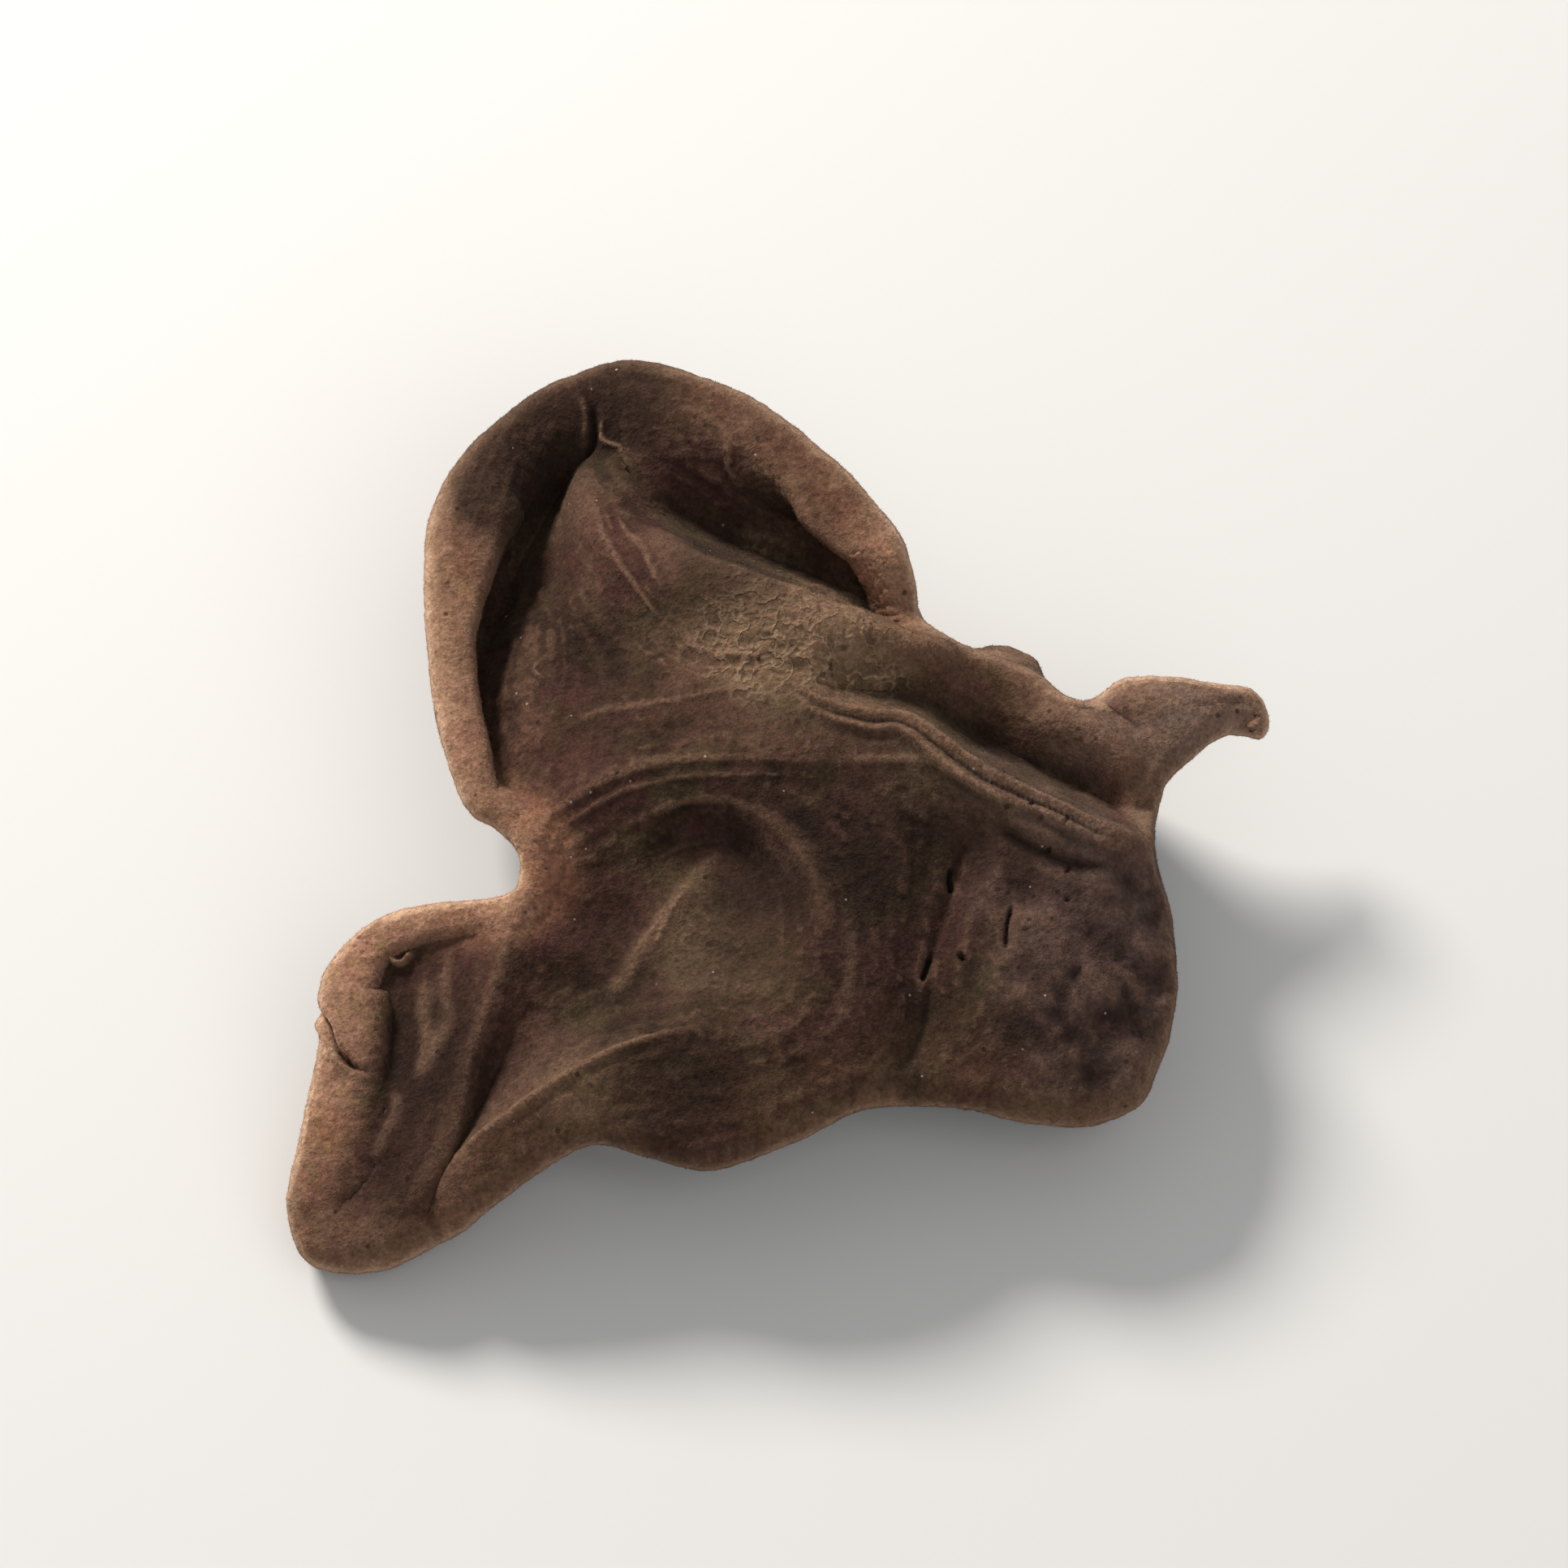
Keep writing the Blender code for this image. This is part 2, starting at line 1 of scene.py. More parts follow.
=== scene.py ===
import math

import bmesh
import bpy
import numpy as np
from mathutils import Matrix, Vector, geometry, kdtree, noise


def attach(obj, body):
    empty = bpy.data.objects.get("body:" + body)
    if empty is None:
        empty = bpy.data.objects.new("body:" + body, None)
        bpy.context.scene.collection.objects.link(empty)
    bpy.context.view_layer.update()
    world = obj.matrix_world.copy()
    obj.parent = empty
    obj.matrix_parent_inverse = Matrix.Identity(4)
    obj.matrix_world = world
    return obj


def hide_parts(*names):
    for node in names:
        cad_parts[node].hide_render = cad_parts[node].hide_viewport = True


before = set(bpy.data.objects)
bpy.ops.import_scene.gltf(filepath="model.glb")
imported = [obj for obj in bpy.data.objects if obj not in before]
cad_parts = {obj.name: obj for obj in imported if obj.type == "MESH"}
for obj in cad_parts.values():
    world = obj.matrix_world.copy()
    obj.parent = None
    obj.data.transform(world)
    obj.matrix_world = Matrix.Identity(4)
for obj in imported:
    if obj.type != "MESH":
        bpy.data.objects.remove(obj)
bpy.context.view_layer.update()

# The looks of a dried wood ear mushroom: one crumpled sheet with a felted outer side, a dark inner face and
# a thin pale hem. The sheet is drawn in millimetres in a frame of its own: x to the right, u up its broad
# face and t out of that face. The face is then laid back over the ground. The lines, heights and margins
# here repeat those of the CAD solid that this sheet replaces, and add what is too fine for it.

MM = 0.001

# The sheet, in millimetres: its thickness, which thins over the last stretch to the hem, and the mesh's
# step; how steeply its frame's t rises from the ground, and that direction; how the face slopes and rounds
# in that frame, and how high its middle lies; how far the margin's numbers and direction are evened out.
THICKNESS = 1.0
HEM_THINNING = 0.3
HEM_TAPER = 2.5
MESH_STEP = 0.245
PITCH = math.radians(55.0)
OUT_OF_FACE = (0.0, -math.cos(PITCH), math.sin(PITCH))
FACE_SLOPE = 0.55
CROWN_RADIUS = 95.0
CROWN_LENGTHWISE = 0.6
FACE_MIDDLE_HEIGHT = 14.0
MARGIN_BLEND = 2.2
TURN_BLUR = 0.8

# The margin, clockwise from the top left: the points of each stretch (x, u), then how high its rim stands,
# how broad the rim's flat band is, how far it is from there down to the crease inside it, how far it leans
# in over that crease, the radius of the roll, the angle that it turns through, how much more the hem curls
# after it (degrees a millimetre), how far the hem stays off the ground, negative where it is a foot, and
# how pale its felt is.
MARGIN = (
    ("crown", ((-18.9, 28.2), (-15.0, 30.4), (-11.0, 31.5)),
     1.8, 0.4, 7.0, 0.0, 1.5, 112, 0.0, -2.0, 0.1),
    ("hood", ((-5.6, 30.1), (-1.6, 28.2)),
     3.6, 0.8, 8.0, 0.0, 1.5, 110, 0.0, 5.0, 0.2),
    ("arc rim", ((3.2, 24.4), (6.0, 21.3)),
     6.4, 3.0, 3.0, 4.4, 1.4, 98, 0.0, 11.0, 0.3),
    ("arc tip", ((8.0, 18.6), (8.7, 15.8)),
     5.2, 2.0, 2.6, 3.6, 1.3, 98, 0.0, 9.0, 0.8),
    ("arc end", ((9.4, 13.2), (11.4, 11.6)),
     0.4, 0.3, 2.4, 0.4, 1.0, 100, 0.0, 5.0, 0.3),
    ("shoulder", ((14.4, 10.2), (17.6, 8.8), (19.8, 7.4)),
     0.0, 0.4, 4.0, 0.0, 1.8, 100, 0.0, -3.0, 0.15),
    ("lobe top", ((21.4, 7.6), (23.6, 8.9), (26.6, 9.2), (29.6, 8.8)),
     0.3, 0.2, 2.0, 0.0, 1.1, 98, 0.0, 10.4, 0.6),
    ("lobe tip", ((33.0, 8.2), (34.3, 5.9), (33.4, 3.9)),
     0.3, 0.2, 1.6, 0.0, 1.1, 95, 0.0, 9.8, 0.7),
    ("lobe foot", ((30.6, 4.4), (28.2, 2.8), (26.2, 0.8), (25.4, -1.6)),
     0.0, 0.2, 2.0, 0.0, 1.0, 95, 0.0, 8.6, 0.25),
    ("right side", ((26.0, -3.8), (27.1, -8.0), (27.4, -12.2), (26.8, -15.6)),
     0.0, 0.4, 4.0, 0.0, 1.8, 92, -1.0, 5.0, 0.0),
    ("right foot", ((25.8, -18.6), (24.2, -21.2), (20.6, -22.4)),
     0.0, 0.4, 4.0, 0.0, 1.8, 93, 0.0, -4.0, 0.1),
    ("underlip", ((16.5, -22.0), (10.2, -20.6), (5.2, -21.2), (0.4, -23.4)),
     0.0, 0.4, 4.0, 0.0, 1.3, 98, 0.0, 6.4, 0.15),
    ("lip", ((-5.1, -25.0), (-9.4, -24.2), (-13.0, -23.6), (-17.0, -25.8)),
     0.0, 0.4, 4.0, 0.0, 1.2, 98, 0.0, 6.4, 0.15),
    ("tip", ((-22.0, -29.4), (-27.6, -31.8), (-32.2, -31.4), (-34.0, -27.6)),
     0.5, 0.4, 3.5, 0.0, 1.4, 96, 0.0, -2.0, 0.35),
    ("flange", ((-33.4, -23.6), (-32.6, -19.8)),
     1.2, 1.4, 4.0, 0.0, 1.4, 105, 0.0, 3.0, 0.9),
    ("flange roll", ((-32.0, -16.6), (-31.9, -12.2)),
     2.2, 2.4, 3.0, 1.6, 1.5, 106, 0.0, 4.5, 1.0),
    ("flange top", ((-29.6, -8.9), (-26.4, -7.2), (-22.2, -6.4)),
     1.9, 0.7, 2.2, 1.2, 1.2, 98, 0.0, 7.5, 1.0),
    ("notch", ((-20.0, -6.2), (-18.4, -5.4), (-18.2, -3.6)),
     0.2, 0.2, 2.0, 0.0, 0.7, 90, 0.0, 10.0, 1.0),
    ("notch top", ((-19.8, -2.0), (-21.8, -0.6)),
     2.2, 0.3, 2.0, 1.0, 0.9, 93, 0.0, 9.0, 0.7),
    ("left rim", ((-23.2, 3.0), (-24.2, 8.0), (-24.7, 11.6)),
     4.8, 0.8, 2.4, 2.7, 1.1, 92, 0.0, 8.0, 0.75),
    ("upper left rim", ((-25.0, 15.6),),
     5.0, 2.2, 2.8, 2.8, 1.3, 94, 0.0, 6.0, 0.75),
    ("left crown", ((-24.8, 20.0), (-22.9, 24.4)),
     4.4, 3.2, 3.6, 2.2, 1.6, 106, 0.0, -2.0, 0.35),
)

# The lines that the face hangs on: places on each (x, u) with their height there, how sharp it is (0 for a
# soft swell, 1 for a crease) and how far it leans over to the left of its direction.
CREASES = (
    ("crest",
     ((-10.4, 17.8, 1.5), (-8.9, 16.9, 2.4), (-6.7, 15.8, 3.4), (-4.0, 14.6, 3.9), (-1.6, 13.8, 4.0),
      (1.2, 12.7, 3.8), (4.5, 11.6, 3.5), (7.5, 10.6, 3.0), (10.6, 9.6, 2.2)), 0.7, 1.2),
    ("hollow behind the crest",
     ((-9.4, 21.0, -1.8), (-7.4, 19.8, -4.0), (-4.6, 18.2, -6.2), (-1.2, 16.8, -6.8), (2.4, 15.3, -6.8),
      (5.4, 13.8, -5.9), (7.6, 12.7, -4.2)), 0.5, 0.0),
    ("crease along the left rim",
     ((-13.4, 24.8, -2.2), (-14.8, 22.9, -3.8), (-16.6, 20.0, -4.8), (-18.4, 16.7, -4.8),
      (-19.9, 13.3, -4.4), (-21.0, 9.9, -3.8), (-21.4, 6.4, -2.8), (-20.6, 2.6, -1.6)), 0.6, 0.0),
    ("middle ridge",
     ((-14.0, 23.2, 0.9), (-14.0, 21.6, 1.5), (-12.9, 19.4, 2.0), (-11.0, 16.8, 2.0), (-8.8, 14.1, 1.4),
      (-7.1, 11.9, 0.8)), 0.5, -0.3),
    ("hollow in the left body", ((-13.4, 12.8, -0.4), (-12.1, 10.4, -1.4), (-11.2, 8.2, -1.0)), 0.1, 0.0),
    ("left shoulder of the body",
     ((-17.2, 11.6, 0.4), (-17.8, 7.0, 1.0), (-17.8, 2.6, 1.0), (-18.0, -1.4, 0.8)), 0.3, 0.0),
    ("fold across the middle",
     ((-15.6, 4.4, 0.8), (-12.9, 5.7, 1.1), (-9.0, 6.3, 1.2), (-4.2, 7.4, 1.5),
      (-0.6, 7.6, 1.7)), 0.7, 0.3),
    ("step ridge",
     ((-0.6, 7.6, 1.7), (1.2, 6.2, 1.9), (3.0, 5.3, 2.3), (5.6, 4.7, 2.9), (7.8, 4.5, 3.5), (9.8, 3.1, 3.8),
      (12.6, 1.1, 3.8), (15.4, -0.3, 3.7), (18.2, -1.5, 3.5), (21.6, -3.2, 3.2),
      (24.0, -3.9, 2.6)), 1.0, 1.3),
    ("trough above the step",
     ((3.4, 7.8, 0.2), (6.2, 7.4, -0.8), (9.2, 7.2, -2.0), (12.0, 5.2, -3.0), (15.0, 3.4, -3.5),
      (19.6, 1.1, -3.7), (23.2, -0.8, -3.5)), 0.7, 0.0),
    ("bowl rim",
     ((-18.4, -4.9, 1.3), (-17.0, -1.7, 1.6), (-14.4, 0.4, 1.7), (-11.4, 2.0, 1.9), (-7.1, 3.0, 2.1),
      (-1.8, 3.2, 2.3), (2.6, 3.0, 2.5)), 0.8, 0.2),
    ("inner arc of the bowl",
     ((-11.6, -2.4, 0.4), (-8.6, -0.4, 1.0), (-5.0, 0.4, 1.3), (-2.0, -0.4, 1.4), (0.4, -2.4, 1.4),
      (2.2, -5.4, 1.2), (2.9, -8.6, 0.8)), 0.7, 0.0),
    ("bowl",
     ((-9.6, -4.4, -0.6), (-6.6, -3.0, -1.3), (-3.8, -2.8, -1.7), (-1.6, -4.4, -1.7), (-0.6, -7.2, -1.3),
      (-0.6, -10.2, -0.8)), 0.4, 0.0),
    ("floor of the bowl", ((-14.0, -8.4, -1.2), (-9.0, -9.8, -1.3), (-4.4, -11.6, -0.8)), 0.0, 0.0),
    ("ridge below the notch",
     ((-18.3, -5.4, 1.2), (-18.6, -7.4, 1.2), (-19.6, -10.8, 1.3), (-20.6, -14.0, 1.4), (-21.6, -17.2, 1.4),
      (-22.3, -20.4, 1.3), (-23.2, -23.6, 1.1), (-25.0, -27.1, 0.9)), 0.7, 0.3),
    ("groove beside the lip",
     ((-17.6, -14.6, -0.4), (-19.2, -17.6, -0.8), (-20.8, -21.0, -1.2), (-22.6, -24.6, -1.4),
      (-24.6, -28.2, -1.2)), 0.7, 0.0),
    ("flange valley",
     ((-25.9, -11.9, -0.6), (-26.3, -15.1, -0.6), (-26.8, -18.9, -0.4), (-27.6, -23.3, -0.3)), 0.2, 0.0),
    ("lip ridge",
     ((-23.4, -26.8, 0.5), (-20.7, -23.4, 1.3), (-18.2, -21.3, 1.9), (-15.2, -19.2, 2.2),
      (-12.2, -17.5, 2.0), (-9.0, -16.3, 1.5), (-5.0, -15.4, 1.0)), 0.9, 0.3),
    ("valley above the lip",
     ((-15.8, -15.6, -0.8), (-11.6, -13.8, -0.9), (-7.4, -13.0, -0.6), (-3.6, -12.6, 0.0)), 0.2, 0.0),
    ("shoulder's end", ((18.2, 6.0, 0.9), (20.4, 5.0, 1.3), (22.4, 3.6, 1.3), (23.8, 2.0, 0.9)), 0.6, 0.4),
    ("fold at the lobe's root", ((20.6, 7.6, -0.7), (22.4, 6.4, -1.5), (24.4, 5.2, -1.2)), 0.8, 0.0),
    ("lobe", ((24.8, 7.0, 0.9), (27.6, 6.8, 1.4), (30.4, 6.4, 1.5)), 0.3, 0.0),
    ("valley left of the right lobe",
     ((12.4, -2.9, 0.2), (11.3, -6.4, -0.6), (9.9, -10.8, -1.1), (9.6, -14.6, -1.3),
      (8.0, -18.4, -1.3)), 0.6, 0.0),
)

# Broad swellings of the face: the middle of each (x, u), its height and its half width.
SWELLINGS = (
    ("lower body", (1.0, -14.5), 2.4, 7.5),
    ("right lobe", (18.6, -12.4), 2.2, 7.0),
    ("upper body", (2.5, 10.0), 0.9, 5.0),
)

# Thin wrinkles, slits and the crack of the felted side: the line of each, its height and its half width.
WRINKLES = (
    ("fold above the pinch", ((-14.4, 28.8), (-14.0, 27.2), (-14.3, 25.6)), 0.2, 0.3),
    ("slit beside it", ((-13.6, 28.4), (-13.4, 27.0), (-13.4, 25.4), (-14.2, 24.0)), -0.4, 0.3),
    ("curl in the pinch",
     ((-12.8, 27.6), (-12.9, 26.2), (-12.5, 25.5), (-11.6, 25.0), (-11.2, 24.2),
      (-11.3, 22.9)), 0.35, 0.22),
    ("middle ridge, left",
     ((-13.2, 20.8), (-12.5, 19.0), (-11.3, 17.0), (-9.8, 15.0), (-8.6, 13.4), (-7.6, 12.4)), 0.22, 0.2),
    ("middle ridge, middle",
     ((-12.6, 20.6), (-11.8, 18.6), (-10.7, 16.9), (-9.3, 15.0), (-8.0, 13.6)), 0.22, 0.18),
    ("middle ridge, right",
     ((-12.0, 20.4), (-11.0, 18.4), (-9.8, 16.8), (-8.6, 15.2), (-7.8, 14.4)), 0.2, 0.18),
    ("middle ridge, groove", ((-12.2, 19.4), (-11.3, 17.7), (-10.1, 16.0), (-9.0, 14.5)), -0.2, 0.2),
    ("upper body, first", ((-6.0, 12.2), (-3.8, 11.6), (-1.8, 11.5), (0.6, 11.8)), 0.14, 0.2),
    ("upper body, second", ((-7.0, 11.0), (-4.6, 10.2), (-2.4, 10.0), (-0.2, 9.4)), 0.14, 0.2),
    ("upper body, third", ((-4.4, 9.2), (-2.6, 8.9), (-0.8, 8.9), (1.2, 8.2)), 0.12, 0.2),
    ("crease in the hood", ((-4.4, 26.4), (-3.6, 25.4), (-3.4, 24.0), (-2.4, 22.6)), 0.2, 0.35),
    ("line on the left body", ((-10.4, 11.4), (-9.2, 10.2), (-7.6, 9.3)), 0.1, 0.2),
    ("small curl on the left body", ((-17.0, 9.6), (-17.2, 8.9), (-16.6, 8.4)), 0.2, 0.16),
    ("slit at the body's right", ((11.3, -4.4), (11.2, -5.3), (11.4, -6.2)), -0.8, 0.2),
    ("slit below it", ((9.9, -10.4), (9.6, -11.2), (9.2, -12.2)), -0.8, 0.2),
    ("short slit", ((11.8, -10.6), (12.4, -10.4)), -0.6, 0.25),
    ("long slit", ((15.6, -7.0), (15.2, -8.6), (15.1, -10.2)), -0.5, 0.16),
    ("ridge on the bowl's floor",
     ((-3.6, -2.2), (-5.2, -4.4), (-6.9, -6.2), (-8.3, -8.2), (-9.8, -10.2), (-11.2, -12.4),
      (-13.4, -15.2)), 0.2, 0.9),
    ("wrinkle on that ridge", ((-6.2, -6.4), (-7.0, -6.6), (-8.2, -8.6), (-8.8, -10.2)), 0.12, 0.2),
    ("second wrinkle on it", ((-7.8, -7.0), (-9.0, -8.9), (-10.4, -10.6)), 0.1, 0.2),
    ("bowl rim below the step",
     ((2.0, 3.0), (4.6, 2.7), (8.8, 2.5), (11.2, 1.3), (13.3, 0.0), (15.8, -1.6),
      (19.2, -3.5)), 0.24, 0.32),
    ("crease under the step", ((13.6, -1.4), (16.6, -3.2), (19.6, -4.5), (22.8, -4.8)), -0.3, 0.4),
    ("pit in the step", ((16.2, -0.9), (16.6, -1.2)), -0.3, 0.18),
    ("second pit in the step", ((18.6, -2.0), (18.9, -2.3)), -0.3, 0.2),
    ("pit below the step", ((17.7, -3.3), (18.0, -3.7)), -0.35, 0.18),
    ("pit below it", ((19.1, -4.6), (19.3, -5.0)), -0.35, 0.2),
    ("lower pit", ((19.2, -6.5), (19.3, -6.9)), -0.35, 0.18),
    ("crack in the flange",
     ((-35.6, -13.6), (-34.0, -14.0), (-32.6, -15.2), (-31.8, -16.6), (-30.4, -17.7),
      (-29.0, -18.2)), -0.9, 0.2),
    ("edge of the crack", ((-34.6, -14.4), (-32.6, -15.9), (-31.7, -17.2), (-30.4, -18.3)), 0.35, 0.2),
    ("tuck in the flange", ((-27.2, -10.2), (-26.5, -11.0), (-25.8, -11.0), (-25.1, -10.1)), 0.7, 0.25),
    ("flange, second ridge",
     ((-24.2, -11.0), (-24.4, -14.1), (-24.2, -16.9), (-25.0, -19.8)), 0.22, 0.8),
    ("flange, third ridge",
     ((-26.4, -19.0), (-26.2, -21.0), (-27.0, -22.6), (-28.2, -24.8)), 0.2, 0.7),
    ("flange, fourth ridge",
     ((-22.6, -9.2), (-22.9, -12.4), (-22.8, -15.2), (-24.2, -17.8)), 0.18, 0.6),
)

# Fine lines that run along a crease: its name, how far to its right they lie, their height and half width.
CREASE_LINES = (
    ("step ridge", -0.2, 0.30, 0.16),
    ("step ridge", 0.12, -0.36, 0.13),
    ("step ridge", 0.42, 0.24, 0.14),
    ("step ridge", 0.9, -0.14, 0.25),
    ("lip ridge", 0.0, 0.28, 0.15),
    ("lip ridge", 0.5, -0.12, 0.25),
    ("bowl rim", 0.3, 0.15, 0.25),
    ("bowl rim", 1.3, 0.15, 0.25),
    ("inner arc of the bowl", 0.0, 0.15, 0.3),
    ("ridge below the notch", 0.0, 0.15, 0.3),
    ("fold across the middle", 0.0, 0.15, 0.25),
    ("crest", -0.3, 0.12, 0.3),
    ("valley left of the right lobe", 0.0, -0.2, 0.4),
)

# Soft patches of the felt's colours, of painted light and of painted shade: the middle of each (x, u), its
# half width and how strong it is.
# Golden patches are partly the felt's golden tone and partly painted light: the lit upper body and tip of
# the arc rim, and the shadowed hollow behind the crest, are painted lighter.
GOLDEN = (
    ("upper body", (-2.0, 11.4), 5.0, 1.0),
    ("behind the step", (5.4, 9.0), 4.0, 0.7),
    ("hollow behind the crest", (-2.0, 17.4), 2.4, 0.5),
    ("tip of the arc rim", (7.0, 17.6), 3.2, 0.6),
    ("edge of the step", (9.0, 1.6), 3.4, 0.35),
    ("edge of the step, right", (15.6, -1.8), 3.0, 0.35),
    ("middle of the lower body", (-5.0, -10.0), 5.0, 0.35),
    ("lip ridge", (-14.0, -19.4), 3.5, 0.4),
)
REDDISH = (
    ("tip of the arc rim", (7.2, 17.4), 4.0, 0.7),
    ("inner side of the arc rim", (3.4, 20.6), 3.0, 0.5),
    ("lower end of the left rim", (-23.6, 4.0), 2.6, 0.5),
    ("middle ridge", (-13.0, 17.0), 3.6, 0.6),
    ("below the upper body", (-5.4, 7.6), 3.8, 0.6),
    ("left body", (-17.0, 4.0), 4.2, 0.7),
    ("left of the bowl", (-15.0, -6.0), 4.0, 0.4),
    ("flange", (-23.4, -14.4), 4.6, 0.7),
    ("foot of the flange", (-25.6, -23.4), 3.6, 0.5),
    ("right end of the step", (15.8, -4.2), 4.4, 0.5),
)
# Shaded patches are painted shade, darkening the felt in hollows, under rims and where the sheet turns from
# the light.
SHADED = (
    ("left crown", (-21.4, 22.8), 3.8, 2.4),
    ("top of the left crown", (-19.0, 26.4), 3.4, 1.2),
    ("behind the crest", (-2.4, 16.8), 2.4, 0.3),
    ("crest", (-5.4, 15.4), 2.8, 1.2),
    ("crest's right half", (-1.0, 14.2), 2.4, 0.8),
    ("pinch", (-14.0, 26.0), 4.0, 0.7),
    ("crown", (-10.8, 29.2), 4.2, 1.0),
    ("left body", (-14.6, 10.4), 3.2, 0.5),
    ("right body", (5.0, -5.0), 6.0, 0.8),
    ("under the arc of the bowl", (-3.0, -1.6), 2.4, 0.6),
    ("right of the bowl's floor", (-2.0, -5.8), 3.0, 0.8),
    ("end of the bowl's floor", (-4.0, -9.8), 2.6, 0.5),
    ("left of the bowl's floor", (-11.6, -7.4), 2.8, 0.5),
    ("lip", (-7.0, -20.4), 5.5, 0.9),
    ("inner side of the flange", (-24.4, -17.0), 4.8, 1.35),
    ("foot of the flange", (-26.0, -26.4), 4.0, 0.9),
    ("body's right end", (10.0, -2.0), 5.0, 0.4),
    ("underlip", (12.0, -18.0), 5.0, 0.4),
    ("valley left of the right lobe", (9.7, -14.4), 1.7, 0.6),
    ("foot of that valley", (8.2, -18.2), 1.8, 0.6),
)
GREYISH = (
    ("lobe", (29.0, 7.0), 5.4, 1.0),
    ("shoulder", (21.0, 5.0), 3.4, 0.5),
    ("face of the step", (17.0, -1.2), 1.8, 0.7),
    ("left half of that face", (13.0, 1.2), 1.7, 0.5),
    ("right half of that face", (20.4, -2.6), 1.6, 0.6),
)
PATCHES = {"golden": GOLDEN, "reddish": REDDISH, "shaded": SHADED, "greyish": GREYISH}

# Fields over the face, on a square grid in the sheet's frame: its step, corner and cells; how far a crease
# lifts and leans the face beside it and turns its fibres; how firmly the face is held to its creases, which
# fade over this share of their length, and how much they are smoothed.
GRID_STEP = 0.25
GRID_LOW = (-38.0, -36.0)
GRID_CELLS = (296, 284)
MOST_ROUNDS = 1500
LINE_FADE = 0.15
FAINTEST = 0.04
REACH = 5.0
LEAN_REACH = 2.0
FLOW_REACH = 14.0
HOLD = 30.0
RELIEF = 1.25
CREASE_BLUR = 0.36
SWELL_BLUR = 1.4
SHARPNESS_BLUR = 0.8
LEAN_BLUR = 0.5

# How finely lines are sampled; where the rows of mesh points beside a thin line run, in its half widths, and
# the grid that they are rounded to; how far the mesh's points keep from the margin's and from those rows, in
# shares of the mesh's step.
SPAN_SAMPLES = 24
LINE_STEP = 0.1
FLOW_STEP = 0.2
THIN_LINE_STEP = 0.15
LINE_ROWS = (-1.4, -0.7, 0.0, 0.7, 1.4)
FINE_GRID = 0.1
CLEAR_OF_EDGE = 0.5
CLEAR_OF_LINES = 0.6

# The roll of the margin and its hem: its rows of points, how its profile is traced, and how the drying hem
# waves and draws in on its way down.
BAND_ROWS = 30
BAND_CROWDING = 1.5
PROFILE_STEP = 0.25
SLOPE_STEP = 0.5
START_BLUR = 1.2
LEAST_ROLL = 8
MOST_TURN = math.radians(215)
HEM_LONGEST = 22.0
FAR_FROM_HEM = 40.0
RUFFLE_SIZE = 8.0
RUFFLE_REACH = 12.0
RUFFLE_MOST = 1.5
RUFFLE_HEIGHT = 4.0
RUFFLE_DRAW = 0.15
RUFFLE_ROWS = 16
RUFFLE_DRIFT = 0.4

# The fine relief, which fades out at the hem: the grain, length and seed of the fine and the long fibres,
# and how high their swell, their ridges and the lines between them are.
RELIEF_FADE = 1.5
FINE_FIBRES = (0.22, 2.5, 3)
LONG_FIBRES = (0.3, 6.0, 5)
FIBRE_SWELL = 0.025
FIBRE_RIDGE = 0.05
FIBRE_LINE = 0.03

# Lumps all over the felt (height, size, seed and how much is left at the outline), the inner face's puckers
# (height, size and seed) and those of the hem, which run down it.
LUMPS = ((0.07, 0.7, 1.0, 1.0), (0.10, 2.2, 2.0, 0.3), (0.16, 4.5, 6.0, 0.5))
INNER_PUCKERS = ((0.10, 1.5, 21.0), (0.18, 3.6, 22.0))
HEM_PUCKER = 0.22
HEM_PUCKER_SIZE = 1.8
HEM_STREAKS = (1.0, 1.0, 0.3)

# The net of wrinkles on the upper body, the lumps, warts and pits of the right lobe, and the thin lines: how
# far they reach in half widths, how they taper off, and the height at which they show in full.
NET_MIDDLE = (1.0, 10.5)
NET_HALF_WIDTHS = (10.0, 4.5)
NET_CELL = 1.3
NET_STRETCH = (0.7, 1.2)
NET_WARP = 1.2
NET_LINE = 0.28
NET_HEIGHT = 0.20
NET_SHOWN = 0.85
SMOOTHER_LOBE = 0.75
LOBE_LUMP = 0.55
LOBE_LUMP_SIZE = 3.2
WART_HEIGHT = 0.14
WART_WIDTH = 0.3
WART_SPACING = 1.7
PIT_DEPTH = 0.35
PIT_WIDTH = 0.15
PIT_SPACING = 3.1
LINE_REACH = 3
LINE_TAPER = 0.2
LINE_END = 0.1
LINE_SHOWN = 0.4

# Where the roll and hem get a painted sheen: how far their surface has turned away from the face's own
# direction, along which the camera looks. How many times the surface is evened out to find its fine and its
# broad cavities, for the painted shade in them and the painted light on the ridges between.
EDGE_SHEEN_MIDDLE = 0.40
EDGE_SHEEN_WIDTH = 0.22
CAVITY_ROUNDS = (12, 150)

# The felt's hairs: how many, how far they lean over (degrees), their length and half width, and how deep
# they are set.
HAIRS = 150000
HAIR_SEED = 17
HAIR_TILT = (35, 75)
HAIR_LENGTH = (0.10, 0.24)
HAIR_HALF_WIDTH = (0.016, 0.028)
HAIR_SUNK = 0.02

# Numbers on the felted side that its colours need, which the hairs take over.
FELT_VALUES = ("fibre", "lobe", "lump", "line", "inside", "paleness", "golden", "reddish", "shaded",
               "greyish", "worn", "fine_cavity", "broad_cavity")

# Colours of the felt's body.
DARK_BROWN = (0.0170, 0.0085, 0.0050)
MID_BROWN = (0.044, 0.0225, 0.0132)
OLIVE = (0.042, 0.0285, 0.0135)
RUSSET = (0.056, 0.0225, 0.0190)
# Gold: partly the felt's golden tone, partly painted light.
GOLD = (0.235, 0.150, 0.088)
CRINKLE = (0.400, 0.270, 0.165)
RED_BROWN = (0.082, 0.033, 0.025)
PALE_FIBRE = (0.110, 0.064, 0.040)
# Near black: the darkest fibres, and the painted shade in the fine cavities.
NEAR_BLACK = (0.010, 0.005, 0.003)

